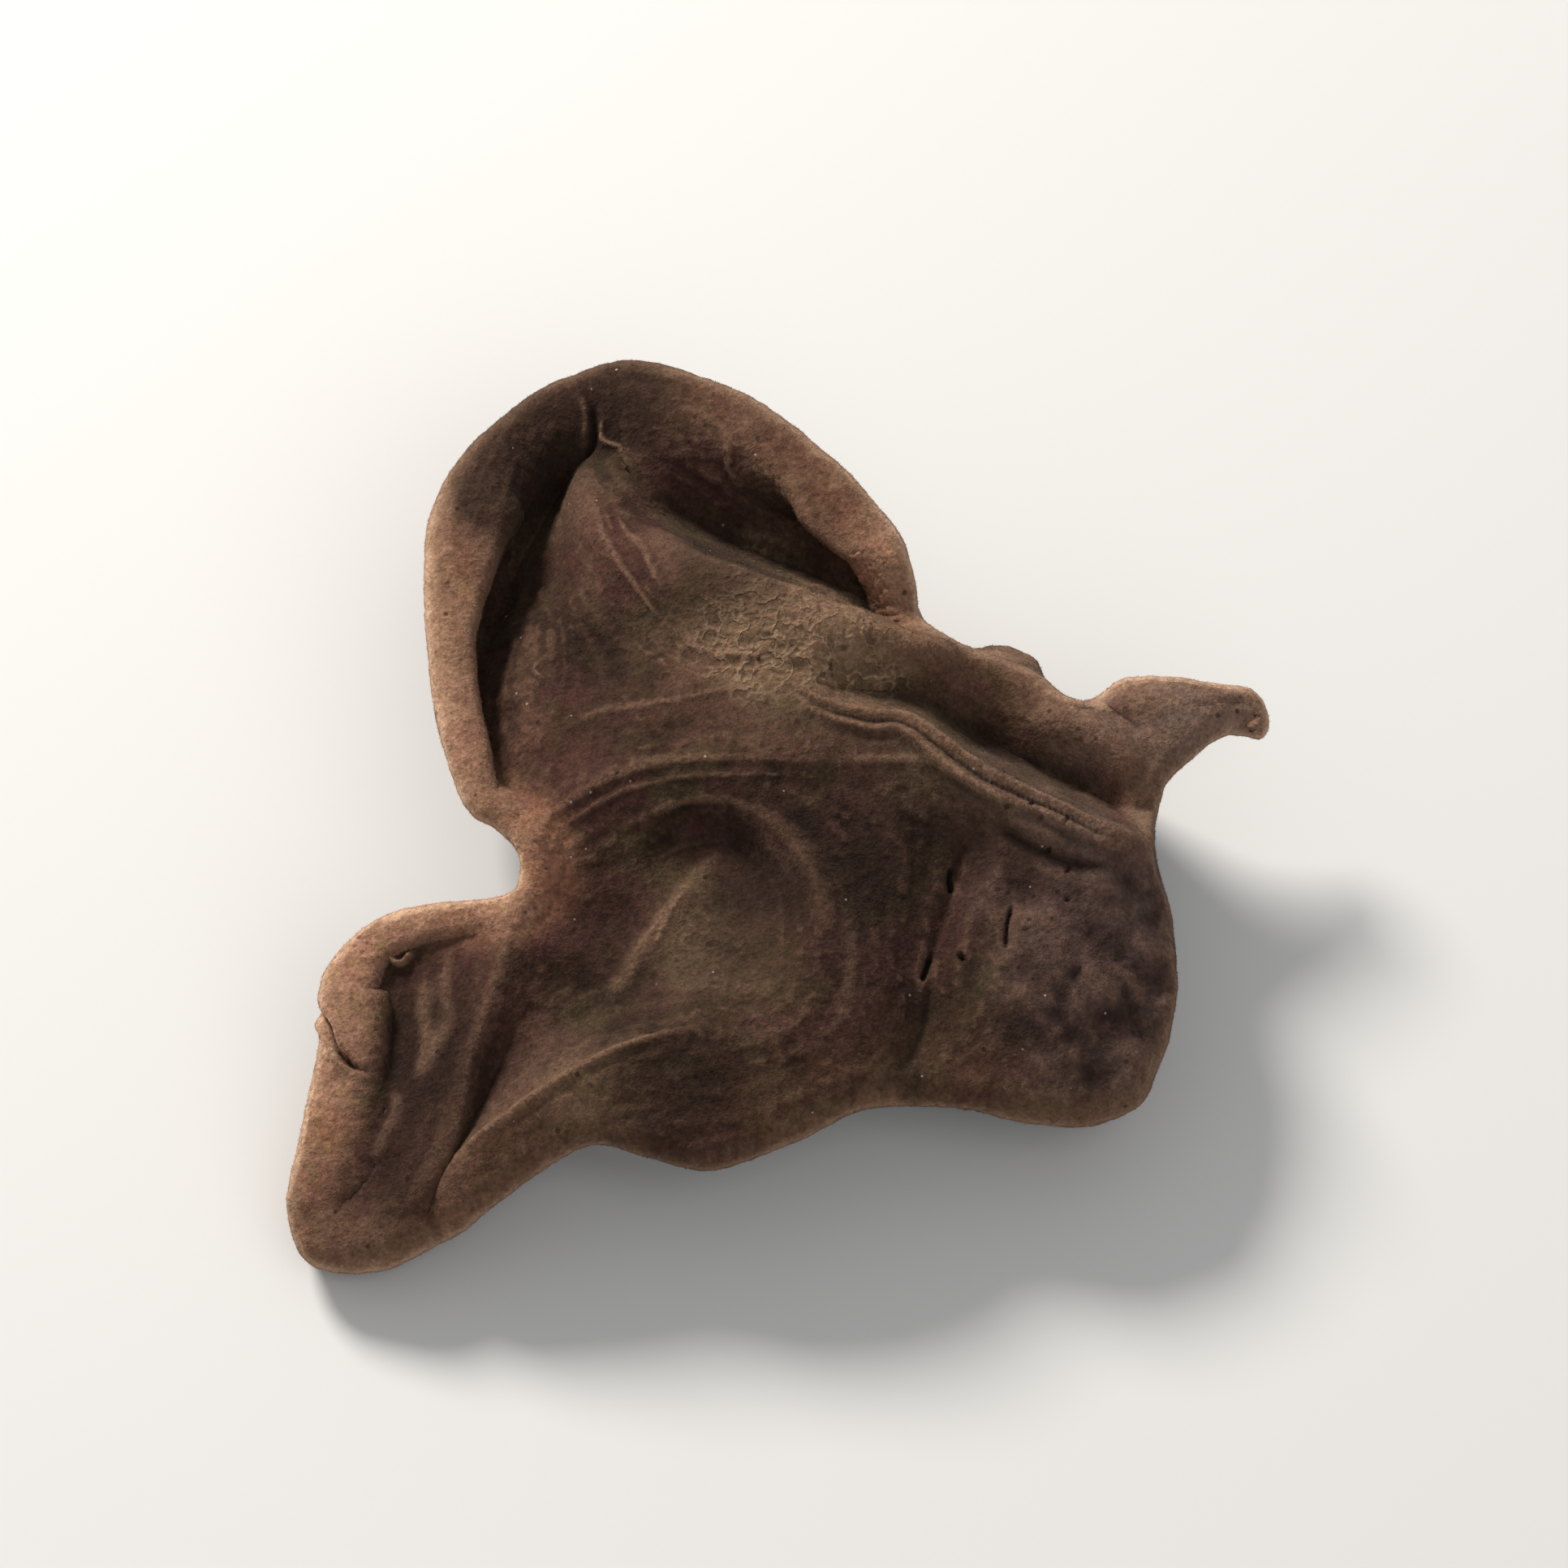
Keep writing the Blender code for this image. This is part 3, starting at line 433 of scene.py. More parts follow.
# Colours of its rims and of its right lobe.
DEEP_TAN = (0.262, 0.124, 0.072)
LIGHT_TAN = (0.322, 0.176, 0.110)
YELLOW_TAN = (0.300, 0.190, 0.088)
PINK_TAN = (0.330, 0.152, 0.116)
RED_TAN = (0.390, 0.150, 0.095)
# Dark and pale grey: painted shade between the right lobe's lumps and painted light on them.
DARK_GREY = (0.034, 0.0200, 0.0170)
PALE_GREY = (0.104, 0.066, 0.055)
BROWN_GREY = (0.064, 0.034, 0.027)
ASH = (0.180, 0.122, 0.098)

# Colours of its painted shade, of the painted light on its ridges and raised lines, of the painted shade in
# its valleys and slits, of the painted sheen at its edge, and of what lies in it or on it.
SHADE = (0.018, 0.0095, 0.0062)
RIDGE = (0.160, 0.088, 0.052)
FINE_RIDGE = (0.150, 0.082, 0.052)
PALE_LINE = (0.230, 0.136, 0.086)
EDGE = (0.380, 0.220, 0.135)
EDGE_SHEEN = (0.520, 0.340, 0.225)
VALLEY = (0.014, 0.007, 0.005)
SLIT = (0.008, 0.004, 0.003)
PIN_HOLE = (0.012, 0.006, 0.005)
PIT = (0.046, 0.024, 0.015)
DUST = (0.40, 0.33, 0.27)
SHEEN = (0.9, 0.65, 0.45)

# Colours of the inner face and of the hem's edge.
INNER_DARK = (0.020, 0.012, 0.014)
BLOOM = (0.075, 0.062, 0.075)
INNER_RED = (0.07, 0.022, 0.016)
HEM_DARK = (0.12, 0.075, 0.05)
HEM_PALE = (0.34, 0.24, 0.16)

# The studio, in metres: the lights (place, size, power in watts and colour) and the camera aim at one point.
AIM = (0.0, 0.0, 0.010)
LIGHTS = (
    ("key", (-0.36, 0.46, 0.42), 0.24, 7.0, (1.0, 0.96, 0.91)),
    ("fill", (0.25, -0.50, 0.60), 0.7, 1.7, (0.97, 0.98, 1.0)),
)
SKY_COLOUR = (0.95, 0.97, 1.0)
SKY_STRENGTH = 0.36
FLOOR_SIZE = 3.0
FLOOR_COLOUR = (0.70, 0.69, 0.67)
CAMERA_DISTANCE = 0.62
CAMERA_LENS = 205.0


def unit(vectors):
    return vectors / np.linalg.norm(vectors, axis=1)[:, None]


def smooth_line(points, closed, step):
    """Catmull-Rom curve through the points at an even spacing, where its samples lie and its length."""
    points = np.array(points, float)
    count = len(points)
    spans = count if closed else count - 1
    position = np.linspace(0, spans, spans * SPAN_SAMPLES, endpoint=not closed)
    first = np.minimum(position.astype(int), spans - 1)
    f = (position - first)[:, None]
    corners = [first + k for k in (-1, 0, 1, 2)]
    a, b, c, d = (points[k % count if closed else np.clip(k, 0, count - 1)] for k in corners)
    dense = b + 0.5 * f * (c - a + f * (2 * a - 5 * b + 4 * c - d + f * (3 * (b - c) + d - a)))
    if closed:
        dense = np.vstack([dense, dense[:1]])
        position = np.append(position, spans)
    lengths = np.append(0, np.cumsum(np.linalg.norm(np.diff(dense[:, :2], axis=0), axis=1)))
    pieces = max(2, round(lengths[-1] / step))
    wanted = np.linspace(0, lengths[-1], pieces, endpoint=not closed)
    samples = np.stack([np.interp(wanted, lengths, column) for column in dense.T], axis=1)
    return samples, np.interp(wanted, lengths, position), lengths[-1]


def bell(reach, most):
    """The offsets, up to the most, and the weights of a Gaussian blur over this many samples."""
    offsets = np.arange(-most, most + 1)
    weights = np.exp(-0.5 * (offsets / reach) ** 2)
    return offsets, weights / weights.sum()


def blur_round(values, reach):
    """Gaussian blur of values that run round a closed line, over this many samples."""
    return sum(weight * np.roll(values, -k, axis=0) for k, weight in zip(*bell(reach, 3 * math.ceil(reach))))


def margin_line(step):
    """The margin's outline with its outward directions, and the nine numbers that go with each sample."""
    points = [point for _, stretch, *_ in MARGIN for point in stretch]
    values = np.array([settings for _, stretch, *settings in MARGIN for _ in stretch], float)
    outline, position, length = smooth_line(points, True, step)
    low = position.astype(int) % len(points)
    share = (position % 1)[:, None]
    settings = values[low] * (1 - share) + values[(low + 1) % len(points)] * share
    spacing = length / len(outline)
    settings = blur_round(settings, MARGIN_BLEND / spacing)
    along = np.roll(outline, -1, axis=0) - np.roll(outline, 1, axis=0)
    along = unit(blur_round(along, TURN_BLUR / spacing))
    outward = np.stack([-along[:, 1], along[:, 0]], axis=1)
    return outline, outward, settings.T


def nearest_of(points, targets):
    """For each point, which of the targets is nearest and how far away it is."""
    tree = kdtree.KDTree(len(targets))
    for k, (x, u) in enumerate(targets):
        tree.insert((x, u, 0), k)
    tree.balance()
    found = [tree.find((x, u, 0))[1:] for x, u in points]
    return np.array([index for index, _ in found]), np.array([distance for _, distance in found])


def drawn(lines, values):
    """Lines drawn on the grid: how firmly each cell is held and the value that it is held at."""
    firm = np.zeros(GRID_CELLS)
    total = np.zeros(GRID_CELLS + np.shape(values[0])[1:])
    for line, value in zip(lines, values):
        along = np.linspace(0, 1, len(line))
        fade = np.clip(np.minimum(along, 1 - along) / LINE_FADE, FAINTEST, 1)
        cells = np.round((line[:, :2] - GRID_LOW) / GRID_STEP).astype(int)
        np.add.at(firm, tuple(cells.T), fade)
        np.add.at(total, tuple(cells.T), (value.T * fade).T)
    held = np.maximum(firm, 1e-9)
    return np.minimum(firm, 1) * HOLD, (total.T / held.T).T


def stretched(lines, values, reach):
    """The field that a skin takes when the lines hold it up and it falls back to 0 over the reach."""
    firm, values = drawn(lines, values)
    pull = (GRID_STEP / reach) ** 2
    rounds = int(3 * (reach / GRID_STEP) ** 2)
    field = np.zeros(GRID_CELLS)
    for _ in range(min(rounds, MOST_ROUNDS)):
        edged = np.pad(field, 1, mode="edge")
        around = edged[:-2, 1:-1] + edged[2:, 1:-1] + edged[1:-1, :-2] + edged[1:-1, 2:]
        field = (around + firm * values) / (4 + pull + firm)
    return field


def blurred(field, reach):
    """Gaussian blur of a grid field, over a reach in millimetres."""
    cells = reach / GRID_STEP
    offsets, weights = bell(cells, math.ceil(3 * cells))
    for _ in range(2):
        edged = np.pad(field, ((-offsets[0], offsets[-1]), (0, 0)), mode="edge")
        field = sum(w * edged[k:k + len(field)] for k, w in enumerate(weights)).T
    return field


def sampled(field, points):
    """The grid field at these places, smoothly between its cells."""
    place = (points - GRID_LOW) / GRID_STEP
    place = np.clip(place, 1, np.array(GRID_CELLS) - 2.001)
    low = place.astype(int)
    f, g = (place - low).T
    total = 0
    weights = [[-0.5 * h + h**2 - 0.5 * h**3, 1 - 2.5 * h**2 + 1.5 * h**3, 0.5 * h + 2 * h**2 - 1.5 * h**3,
                0.5 * (h**3 - h**2)] for h in (f, g)]
    for i in range(4):
        for j in range(4):
            row = np.minimum(low[:, 0] + i - 1, GRID_CELLS[0] - 1)
            column = np.minimum(low[:, 1] + j - 1, GRID_CELLS[1] - 1)
            total = total + weights[0][i] * weights[1][j] * field[row, column]
    return total


def face_fields():
    """Grid fields of the face: its height over its creases, its lean (x, u) and its run of fibres."""
    lines = [smooth_line(points, False, LINE_STEP)[0] for _, points, _, _ in CREASES]
    tent = stretched(lines, [RELIEF * line[:, 2] for line in lines], REACH)
    sharpness = [np.full(len(line), row[2]) for line, row in zip(lines, CREASES)]
    sharp = np.clip(blurred(stretched(lines, sharpness, REACH), SHARPNESS_BLUR), 0, 1)
    height = sharp * blurred(tent, CREASE_BLUR) + (1 - sharp) * blurred(tent, SWELL_BLUR)
    along = [unit(np.gradient(line[:, :2], axis=0)) for line in lines]
    leans = []
    for axis, sign in ((1, -1), (0, 1)):
        lean = [sign * row[3] * run[:, axis] for row, run in zip(CREASES, along)]
        leans.append(blurred(stretched(lines, lean, LEAN_REACH), LEAN_BLUR))
    return height, leans, flow_angle(lines, along)


def flow_angle(lines, along):
    """The direction that the fibres run in: along the creases and the margin, and smoothly between them."""
    outline, outward, _ = margin_line(FLOW_STEP)
    lines = [*lines, outline]
    along = [*along, np.stack([outward[:, 1], -outward[:, 0]], axis=1)]
    doubled = [2 * np.arctan2(run[:, 1], run[:, 0]) for run in along]
    across = stretched(lines, [np.cos(angle) for angle in doubled], FLOW_REACH)
    up = stretched(lines, [np.sin(angle) for angle in doubled], FLOW_REACH)
    return 0.5 * np.arctan2(up, across)


def streaks(angle, grain, length, seed):
    """Random grain smeared along the fibres, evened to a spread of 1."""
    rng = np.random.default_rng(seed)
    grains = blurred(rng.standard_normal(GRID_CELLS), grain)
    start = np.stack(np.meshgrid(*[np.arange(n) for n in GRID_CELLS], indexing="ij"), axis=-1) * GRID_STEP
    start = start.reshape(-1, 2) + GRID_LOW
    total = np.zeros(len(start))
    for side in (1, -1):
        place = start
        heading = side * np.stack([np.cos(angle.ravel()), np.sin(angle.ravel())], axis=1)
        for _ in range(int(length / GRID_STEP)):
            place = place + heading * GRID_STEP
            cells = np.round((place - GRID_LOW) / GRID_STEP).astype(int)
            cells = tuple(np.clip(cells, 0, np.array(GRID_CELLS) - 1).T)
            total += grains[cells]
            turned = np.stack([np.cos(angle[cells]), np.sin(angle[cells])], axis=1)
            turned *= np.sign((turned * heading).sum(axis=1) + 1e-9)[:, None]
            heading = turned
    total -= total.mean()
    return (total / total.std()).reshape(GRID_CELLS)


def laid_down(flat, height):
    """Places in the sheet's frame (x, u) and t, turned so that the face lies back over the ground."""
    x, u = flat[..., 0], flat[..., 1]
    y = u * math.sin(PITCH) - height * math.cos(PITCH)
    z = u * math.cos(PITCH) + height * math.sin(PITCH)
    return np.stack([x, y, z + FACE_MIDDLE_HEIGHT], axis=-1)


def rim_shape(distance, flat, width):
    """1 on the band of the raised rim, 0 where it meets the crease."""
    return 0.5 + 0.5 * np.cos(np.clip((distance - flat) / width, 0, 1) * math.pi)


def apart(points, others, distance):
    """The points that keep this distance from the others."""
    return points[nearest_of(points, others)[1] > distance]


def fill(boundary, step):
    """Points and triangles that fill the boundary evenly, and more finely along the thin lines."""
    low, high = boundary.min(axis=0), boundary.max(axis=0)
    rows = np.arange(low[1], high[1], step * math.sqrt(0.75))
    columns = np.arange(low[0], high[0], step)
    lattice = [(x + 0.5 * step * (k % 2), u) for k, u in enumerate(rows) for x in columns]
    fine = [beside(line, side * half_width) for line, _, half_width in thin_lines() for side in LINE_ROWS]
    fine = np.unique(np.round(np.vstack(fine) / FINE_GRID) * FINE_GRID, axis=0)
    placed = np.vstack([boundary, apart(fine, boundary, CLEAR_OF_EDGE * step)])
    placed = np.vstack([placed, apart(np.array(lattice), placed, CLEAR_OF_LINES * step)])
    count = len(boundary)
    edges = [(k, (k + 1) % count) for k in range(count)]
    placed = [Vector(place) for place in placed]
    found, _, triangles, sources, _, _ = geometry.delaunay_2d_cdt(placed, edges, [], 1, 1e-6)
    used = sorted({corner for triangle in triangles for corner in triangle})
    order = {corner: k for k, corner in enumerate(used)}
    triangles = [[order[corner] for corner in triangle] for triangle in triangles]
    ring = {source: order[corner] for corner in used for source in sources[corner]}
    return np.array([tuple(found[corner]) for corner in used]), triangles, [ring[k] for k in range(count)]


def ruffles(crest, run):
    """How far the drying hem waves in and out, more the further it is from the roll."""
    grown = np.clip(run / RUFFLE_REACH, 0, RUFFLE_MOST) ** 2 * RUFFLE_HEIGHT
    levels = run[::RUFFLE_ROWS, 0] * RUFFLE_DRIFT
    waves = [[noise.noise(Vector((x, u, level)) / RUFFLE_SIZE) for x, u in crest] for level in levels]
    return grown * (np.repeat(waves, RUFFLE_ROWS, axis=0)[: len(run)] - RUFFLE_DRAW)


def face_level(flat, height):
    """How high the face stands at these places: its slope, its round back, its folds and its swellings."""
    x, u = flat.T
    level = -FACE_SLOPE * u - (x**2 + CROWN_LENGTHWISE * u**2) / (2 * CROWN_RADIUS) + sampled(height, flat)
    for _, middle, amount, half_width in SWELLINGS:
        level += amount * np.exp(-(((flat - middle) ** 2).sum(axis=1) / half_width**2))
    return level


def rim_crest(outline, outward, lean, radius):
    """The crest of the rim, so placed that the roll from the sloping face ends at the outline."""
    x, u = outline.T
    bend = x * outward[:, 0] + CROWN_LENGTHWISE * u * outward[:, 1]
    slope = FACE_SLOPE * outward[:, 1] + bend / CROWN_RADIUS
    roll = radius * (1 - np.sin(np.arctan(slope)))
    return outline - outward * (roll + THICKNESS / 2 - lean)[:, None]


def hem_profile(crest, top, outward, start, settings):
    """The margin from its rim's crest, over the roll and down to the hem: rows of (x, u), t and the run."""
    radius, turn, flare, clearance = settings[4:8]
    turn = np.radians(turn)
    flare = np.radians(flare)
    step = PROFILE_STEP
    run = np.arange(0, 2 * HEM_LONGEST, step)[:, None]
    rolled = radius * (turn - start)
    angle = start + np.minimum(run / radius, turn - start) + flare * np.maximum(run - rolled, 0)
    angle = np.clip(angle, start, MOST_TURN)
    out = (np.cumsum(np.cos(angle), axis=0) - np.cos(angle[0])) * step
    back = (np.cumsum(np.sin(angle), axis=0) - np.sin(angle[0])) * step
    out = out + ruffles(crest, run)
    flat = crest[None] + out[..., None] * outward[None]
    drop = top[None] - back
    level = laid_down(flat, drop)[..., 2]
    roll_end = (rolled / step).astype(int)
    reached = level <= np.maximum(clearance, 0)[None]
    last = np.where(reached.any(axis=0), reached.argmax(axis=0), level.argmin(axis=0))
    last = np.maximum(last, np.minimum(roll_end, last + LEAST_ROLL))
    last = np.minimum(last, round(HEM_LONGEST / step))
    columns = np.arange(len(crest))
    rows = []
    for row in range(1, BAND_ROWS + 1):
        at = last * (row / BAND_ROWS) ** BAND_CROWDING
        low = at.astype(int)
        share = at - low
        place = flat[low, columns] * (1 - share)[:, None] + flat[low + 1, columns] * share[:, None]
        height = drop[low, columns] * (1 - share) + drop[low + 1, columns] * share
        rows.append((place, height, at * step))
    return rows


def add_values(mesh, **values):
    """Named numbers on every vertex, for the materials."""
    for name, numbers in values.items():
        layer = mesh.attributes.new(name, "FLOAT", "POINT")
        layer.data.foreach_set("value", np.asarray(numbers, np.float32))


def read(items, name, width, kind=np.float32):
    """One property of all these items of a mesh, as rows of this width."""
    values = np.zeros(len(items) * width, kind)
    items.foreach_get(name, values)
    return values.reshape(-1, width)


def read_value(mesh, name):
    return read(mesh.attributes[name].data, "value", 1)[:, 0]


def coordinates(mesh):
    return read(mesh.vertices, "co", 3).astype(float)


def normals(mesh):
    return read(mesh.vertex_normals, "vector", 3).astype(float)


def in_scene(name, data):
    """A new object in the scene."""
    thing = bpy.data.objects.new(name, data)
    bpy.context.scene.collection.objects.link(thing)
    return thing


def sheet_mesh():
    """The sheet's middle surface, with its place on the flattened sheet and its distances as values."""
    outline, outward, settings = margin_line(MESH_STEP)
    rim, band, width, lean, radius = settings[:5]
    pale = settings[8]
    crest = rim_crest(outline, outward, lean, radius)
    flat, triangles, ring = fill(crest, MESH_STEP)
    nearest, away = nearest_of(flat, crest)
    raised = rim_shape(away, band[nearest], width[nearest])
    height, leans, angle = face_fields()
    level = face_level(flat, height) + rim[nearest] * raised
    leaned = flat + np.stack([sampled(field, flat) for field in leans], axis=1)
    leaned -= outward[nearest] * (lean[nearest] * raised)[:, None]
    places = [laid_down(leaned, level)]
    spread = [flat]
    inside = [away]
    paleness = [pale[nearest]]
    faces = [tuple(triangle) for triangle in triangles]
    previous = np.array(ring)
    count = len(ring)
    total = len(flat)
    behind = face_level(crest - SLOPE_STEP * outward, height)
    start = np.arctan((behind - face_level(crest, height)) / SLOPE_STEP)
    start = blur_round(start, START_BLUR / MESH_STEP)
    rows = hem_profile(leaned[ring], level[ring], outward, start, settings)
    for place, drop, run in rows:
        places.append(laid_down(place, drop))
        spread.append(flat[ring] + outward * run[:, None])
        inside.append(-run)
        paleness.append(pale)
        row = np.arange(total, total + count)
        faces += zip(previous, row, np.roll(row, -1), np.roll(previous, -1))
        previous = row
        total += count
    to_hem = [away + FAR_FROM_HEM] + [rows[-1][2] - run for _, _, run in rows]
    mesh = bpy.data.meshes.new("mushroom_sheet")
    mesh.from_pydata(np.vstack(places) * MM, [], [tuple(map(int, face)) for face in faces])
    x, u = np.vstack(spread).T
    inside, paleness, to_hem = (np.concatenate(parts) for parts in (inside, paleness, to_hem))
    add_values(mesh, spread_x=x, spread_u=u, inside=inside, paleness=paleness, to_hem=to_hem)
    body = bmesh.new()
    body.from_mesh(mesh)
    bmesh.ops.recalc_face_normals(body, faces=body.faces)
    body.to_mesh(mesh)
    body.free()
    return mesh, angle


def thickened(mesh, materials):
    """The sheet given its thickness, less at the hem. Its first half of the vertices is the felted side."""
    for material in materials:
        mesh.materials.append(material)
    sheet = in_scene("thin_sheet", mesh)
    group = sheet.vertex_groups.new(name="thickness")
    for k, distance in enumerate(read_value(mesh, "to_hem")):
        group.add([k], min(1.0, HEM_THINNING + (1 - HEM_THINNING) * distance / HEM_TAPER), "REPLACE")
    solidify = sheet.modifiers.new("Thickness", "SOLIDIFY")
    solidify.thickness = THICKNESS * MM
    solidify.offset = 0
    solidify.vertex_group = "thickness"
    solidify.material_offset = 1
    solidify.material_offset_rim = 2
    bpy.context.view_layer.update()
    solid = bpy.data.meshes.new_from_object(sheet.evaluated_get(bpy.context.evaluated_depsgraph_get()))
    bpy.data.objects.remove(sheet)
    return solid


def neighbour_mean(values, edges, rounds):
    """Each vertex's value evened out with its neighbours' along the edges, this many times."""
    count = np.bincount(edges.ravel(), minlength=len(values)).astype(float)
    for _ in range(rounds):
        total = np.empty_like(values)
        for k in range(values.shape[1]):
            total[:, k] = np.bincount(edges[:, 0], values[edges[:, 1], k], len(values))
            total[:, k] += np.bincount(edges[:, 1], values[edges[:, 0], k], len(values))
        values = 0.5 * values + 0.5 * total / count[:, None]
    return values


def cavity(mesh, places, rounds):
    """How far each vertex lies below its evened-out surroundings, in millimetres."""
    even = neighbour_mean(places, read(mesh.edges, "vertices", 2, np.int32), rounds)
    return ((even - places) * normals(mesh)).sum(axis=1)


def zone(values, start, end):
    """0 before start, 1 after end and smooth between."""
    share = np.clip((values - start) / (end - start), 0, 1)
    return share * share * (3 - 2 * share)


def mound(distance, half_width):
    """1 at distance 0, falling off smoothly over the half width."""
    return np.exp(-((distance / half_width) ** 2))


def beside(line, distance):
    """The line moved this far to the right of its direction."""
    along = unit(np.gradient(line, axis=0))
    return line + distance * np.stack([along[:, 1], -along[:, 0]], axis=1)


def thin_lines():
    """The thin wrinkles and those that run along a crease: the line, its height and its half width."""
    for _, points, amount, half_width in WRINKLES:
        yield smooth_line(points, False, THIN_LINE_STEP)[0], amount, half_width
    creases = {name: points for name, points, _, _ in CREASES}
    for name, distance, amount, half_width in CREASE_LINES:
        line = smooth_line(creases[name], False, THIN_LINE_STEP)[0]
        yield beside(line[:, :2], distance), amount, half_width


def line_relief(points):
    """The height of the thin wrinkles, slits and cracks at these places, and how much they show as lines."""
    height = np.zeros(len(points))
    shown = np.zeros(len(points))
    for samples, amount, half_width in thin_lines():
        reach = LINE_REACH * half_width
        low, high = samples.min(axis=0) - reach, samples.max(axis=0) + reach
        near = np.flatnonzero(((points > low) & (points < high)).all(axis=1))
        if not len(near):
            continue
        index, away = nearest_of(points[near], samples)
        along = index / (len(samples) - 1)
        fade = np.clip(np.minimum(along, 1 - along) / LINE_TAPER, LINE_END, 1)
        profile = fade * mound(away, half_width)
        height[near] += amount * profile
        shown[near] += min(1.0, abs(amount) / LINE_SHOWN) * math.copysign(1, amount) * profile
    return height, shown


def patches(points, table):
    """How strongly the patches of a table cover these places on the flattened sheet."""
    cover = np.zeros(len(points))
    for _, middle, half_width, strength in table:
        cover += strength * mound(np.linalg.norm(points - middle, axis=1), half_width)
    return np.minimum(cover, 1)


def noise_at(points, size, seed):
    """Smooth noise with features of this size in millimetres."""
    return np.array([noise.noise(Vector((x / size, y / size, z / size + seed))) for x, y, z in points])


def cells_at(points, size, seed):
    """Distances to the nearest and second nearest of scattered points this far apart."""
    found = [noise.voronoi(Vector((x / size, y / size, seed)))[0][:2] for x, y in points]
    return np.array(found).T


def fibre_relief(spread, places, angle):
    """The height of the fibres and of the lines between them, and how much a fibre shows in the colour."""
    fine = sampled(streaks(angle, *FINE_FIBRES), spread)
    long = sampled(streaks(angle, *LONG_FIBRES), spread)
    lines = FIBRE_RIDGE * zone(long, 0.7, 1.7) + FIBRE_LINE * mound(fine, 0.3)
    patchy = 0.3 + zone(noise_at(places, 7.0, 15.0), -0.35, 0.45)
    return (FIBRE_SWELL * fine + lines) * patchy, 0.25 * long + 0.7 * fine


def net_wrinkles(spread, places, warp):
    """The net of wrinkles on the upper body, 1 along each."""
    x, u = ((spread - NET_MIDDLE) / NET_HALF_WIDTHS).T
    near, second = cells_at((spread + NET_WARP * warp) * NET_STRETCH, NET_CELL, 4.0)
    broken = zone(noise_at(places, 2.6, 16.0), -0.45, 0.1)
    return np.exp(-(x**2) - u**2) * zone(second - near, NET_LINE, 0.0) * broken


def lobe_relief(spread, places, warp):
    """The height of the lumps, warts and pits of the right lobe, and the lumps for the colour's painted
    light and shade.
    """
    lump = noise_at(places, LOBE_LUMP_SIZE, 14.0) + 0.25 * noise_at(places, 1.4, 13.0)
    near, _ = cells_at(spread + 0.6 * warp, WART_SPACING, 7.0)
    warts = mound(near, WART_WIDTH) * zone(noise_at(places, 1.4, 11.0), 0.0, 0.2)
    near, _ = cells_at(spread + 0.9 * warp, PIT_SPACING, 12.0)
    return LOBE_LUMP * lump + WART_HEIGHT * warts - PIT_DEPTH * mound(near, PIT_WIDTH), lump


def felt_relief(spread, inside, places, angle):
    """Fine relief of the felted side, in millimetres, and the numbers that its colours need."""
    x, u = spread.T
    face = zone(inside, -3.0, 0.5)
    lobe = zone(x + 0.25 * u, 8.5, 15.0) * zone(-u, 0.0, 6.0) * face
    fibres, fibre = fibre_relief(spread, places, angle)
    relief = face * (1 - SMOOTHER_LOBE * lobe) * fibres
    for height, size, seed, left in LUMPS:
        relief += height * (left + (1 - left) * face) * noise_at(places, size, seed)
    hem = zone(-inside, 2.0, 5.0)
    relief += HEM_PUCKER * hem * noise_at(places * HEM_STREAKS, HEM_PUCKER_SIZE, 18.0)
    warp = np.stack([noise_at(places, 3.0, seed) for seed in (8.0, 9.0)], axis=1)
    net = face * net_wrinkles(spread, places, warp)
    bumpy, lump = lobe_relief(spread, places, warp)
    lines, shown = line_relief(spread)
    relief += NET_HEIGHT * net + lobe * bumpy + lines
    return relief, {"fibre": fibre, "lobe": lobe, "lump": lump, "line": shown + NET_SHOWN * net}


def inner_relief(places):
    """The inner face's shallow puckers."""
    return sum(height * noise_at(places, size, seed) for height, size, seed in INNER_PUCKERS)


def piece_of(solid, name, slots):
    """A piece of its own from the faces of the solid in these material slots."""
    body = bmesh.new()
    body.from_mesh(solid)
    others = [face for face in body.faces if face.material_index not in slots]
    bmesh.ops.delete(body, geom=others, context="FACES")
    for face in body.faces:
        face.material_index = slots.index(face.material_index)
    mesh = bpy.data.meshes.new(name)
    body.to_mesh(mesh)
    body.free()
    for slot in slots:
        mesh.materials.append(solid.materials[slot])
    mesh.shade_smooth()
    return in_scene(name, mesh)


def make_sheet():
    """The felted side and the inner face with the hem's edge, as two pieces that meet along the hem."""
    mesh, angle = sheet_mesh()
    solid = thickened(mesh, (felt_material(), inner_material(), hem_material()))
    places = coordinates(solid) / MM
    half = len(mesh.vertices)
    spread = np.stack([read_value(solid, "spread_x"), read_value(solid, "spread_u")], axis=1)
    inside = read_value(solid, "inside")
    felt, values = felt_relief(spread[:half], inside[:half], places[:half], angle)
    relief = np.concatenate([felt, inner_relief(places[half:])])
    relief *= np.tile(zone(read_value(solid, "to_hem")[:half], 0.0, RELIEF_FADE), 2)
    places += normals(solid) * relief[:, None]
    middle = (places.min(axis=0) + places.max(axis=0)) / 2
    places -= (middle[0], middle[1], 0)
    places[:, 2] = np.maximum(places[:, 2], 0)
    solid.vertices.foreach_set("co", (places * MM).ravel().astype(np.float32))
    solid.update()
    add_values(solid, **{name: np.tile(numbers, 2) for name, numbers in values.items()})
    add_values(solid, **{name: patches(spread, table) for name, table in PATCHES.items()})
    # Painted sheen: pale where the roll and hem turn away from the face's direction, along which the camera
    # looks.
    worn = mound(normals(solid) @ OUT_OF_FACE - EDGE_SHEEN_MIDDLE, EDGE_SHEEN_WIDTH) * zone(-inside, -1.0, 0.5)
    # The cavities, for painted shade in them and painted light on the ridges between.
    fine, broad = (cavity(solid, places, rounds) for rounds in CAVITY_ROUNDS)
    add_values(solid, worn=worn, fine_cavity=fine, broad_cavity=broad)
    return piece_of(solid, "felted_side", (0,)), piece_of(solid, "inner_side", (1, 2))


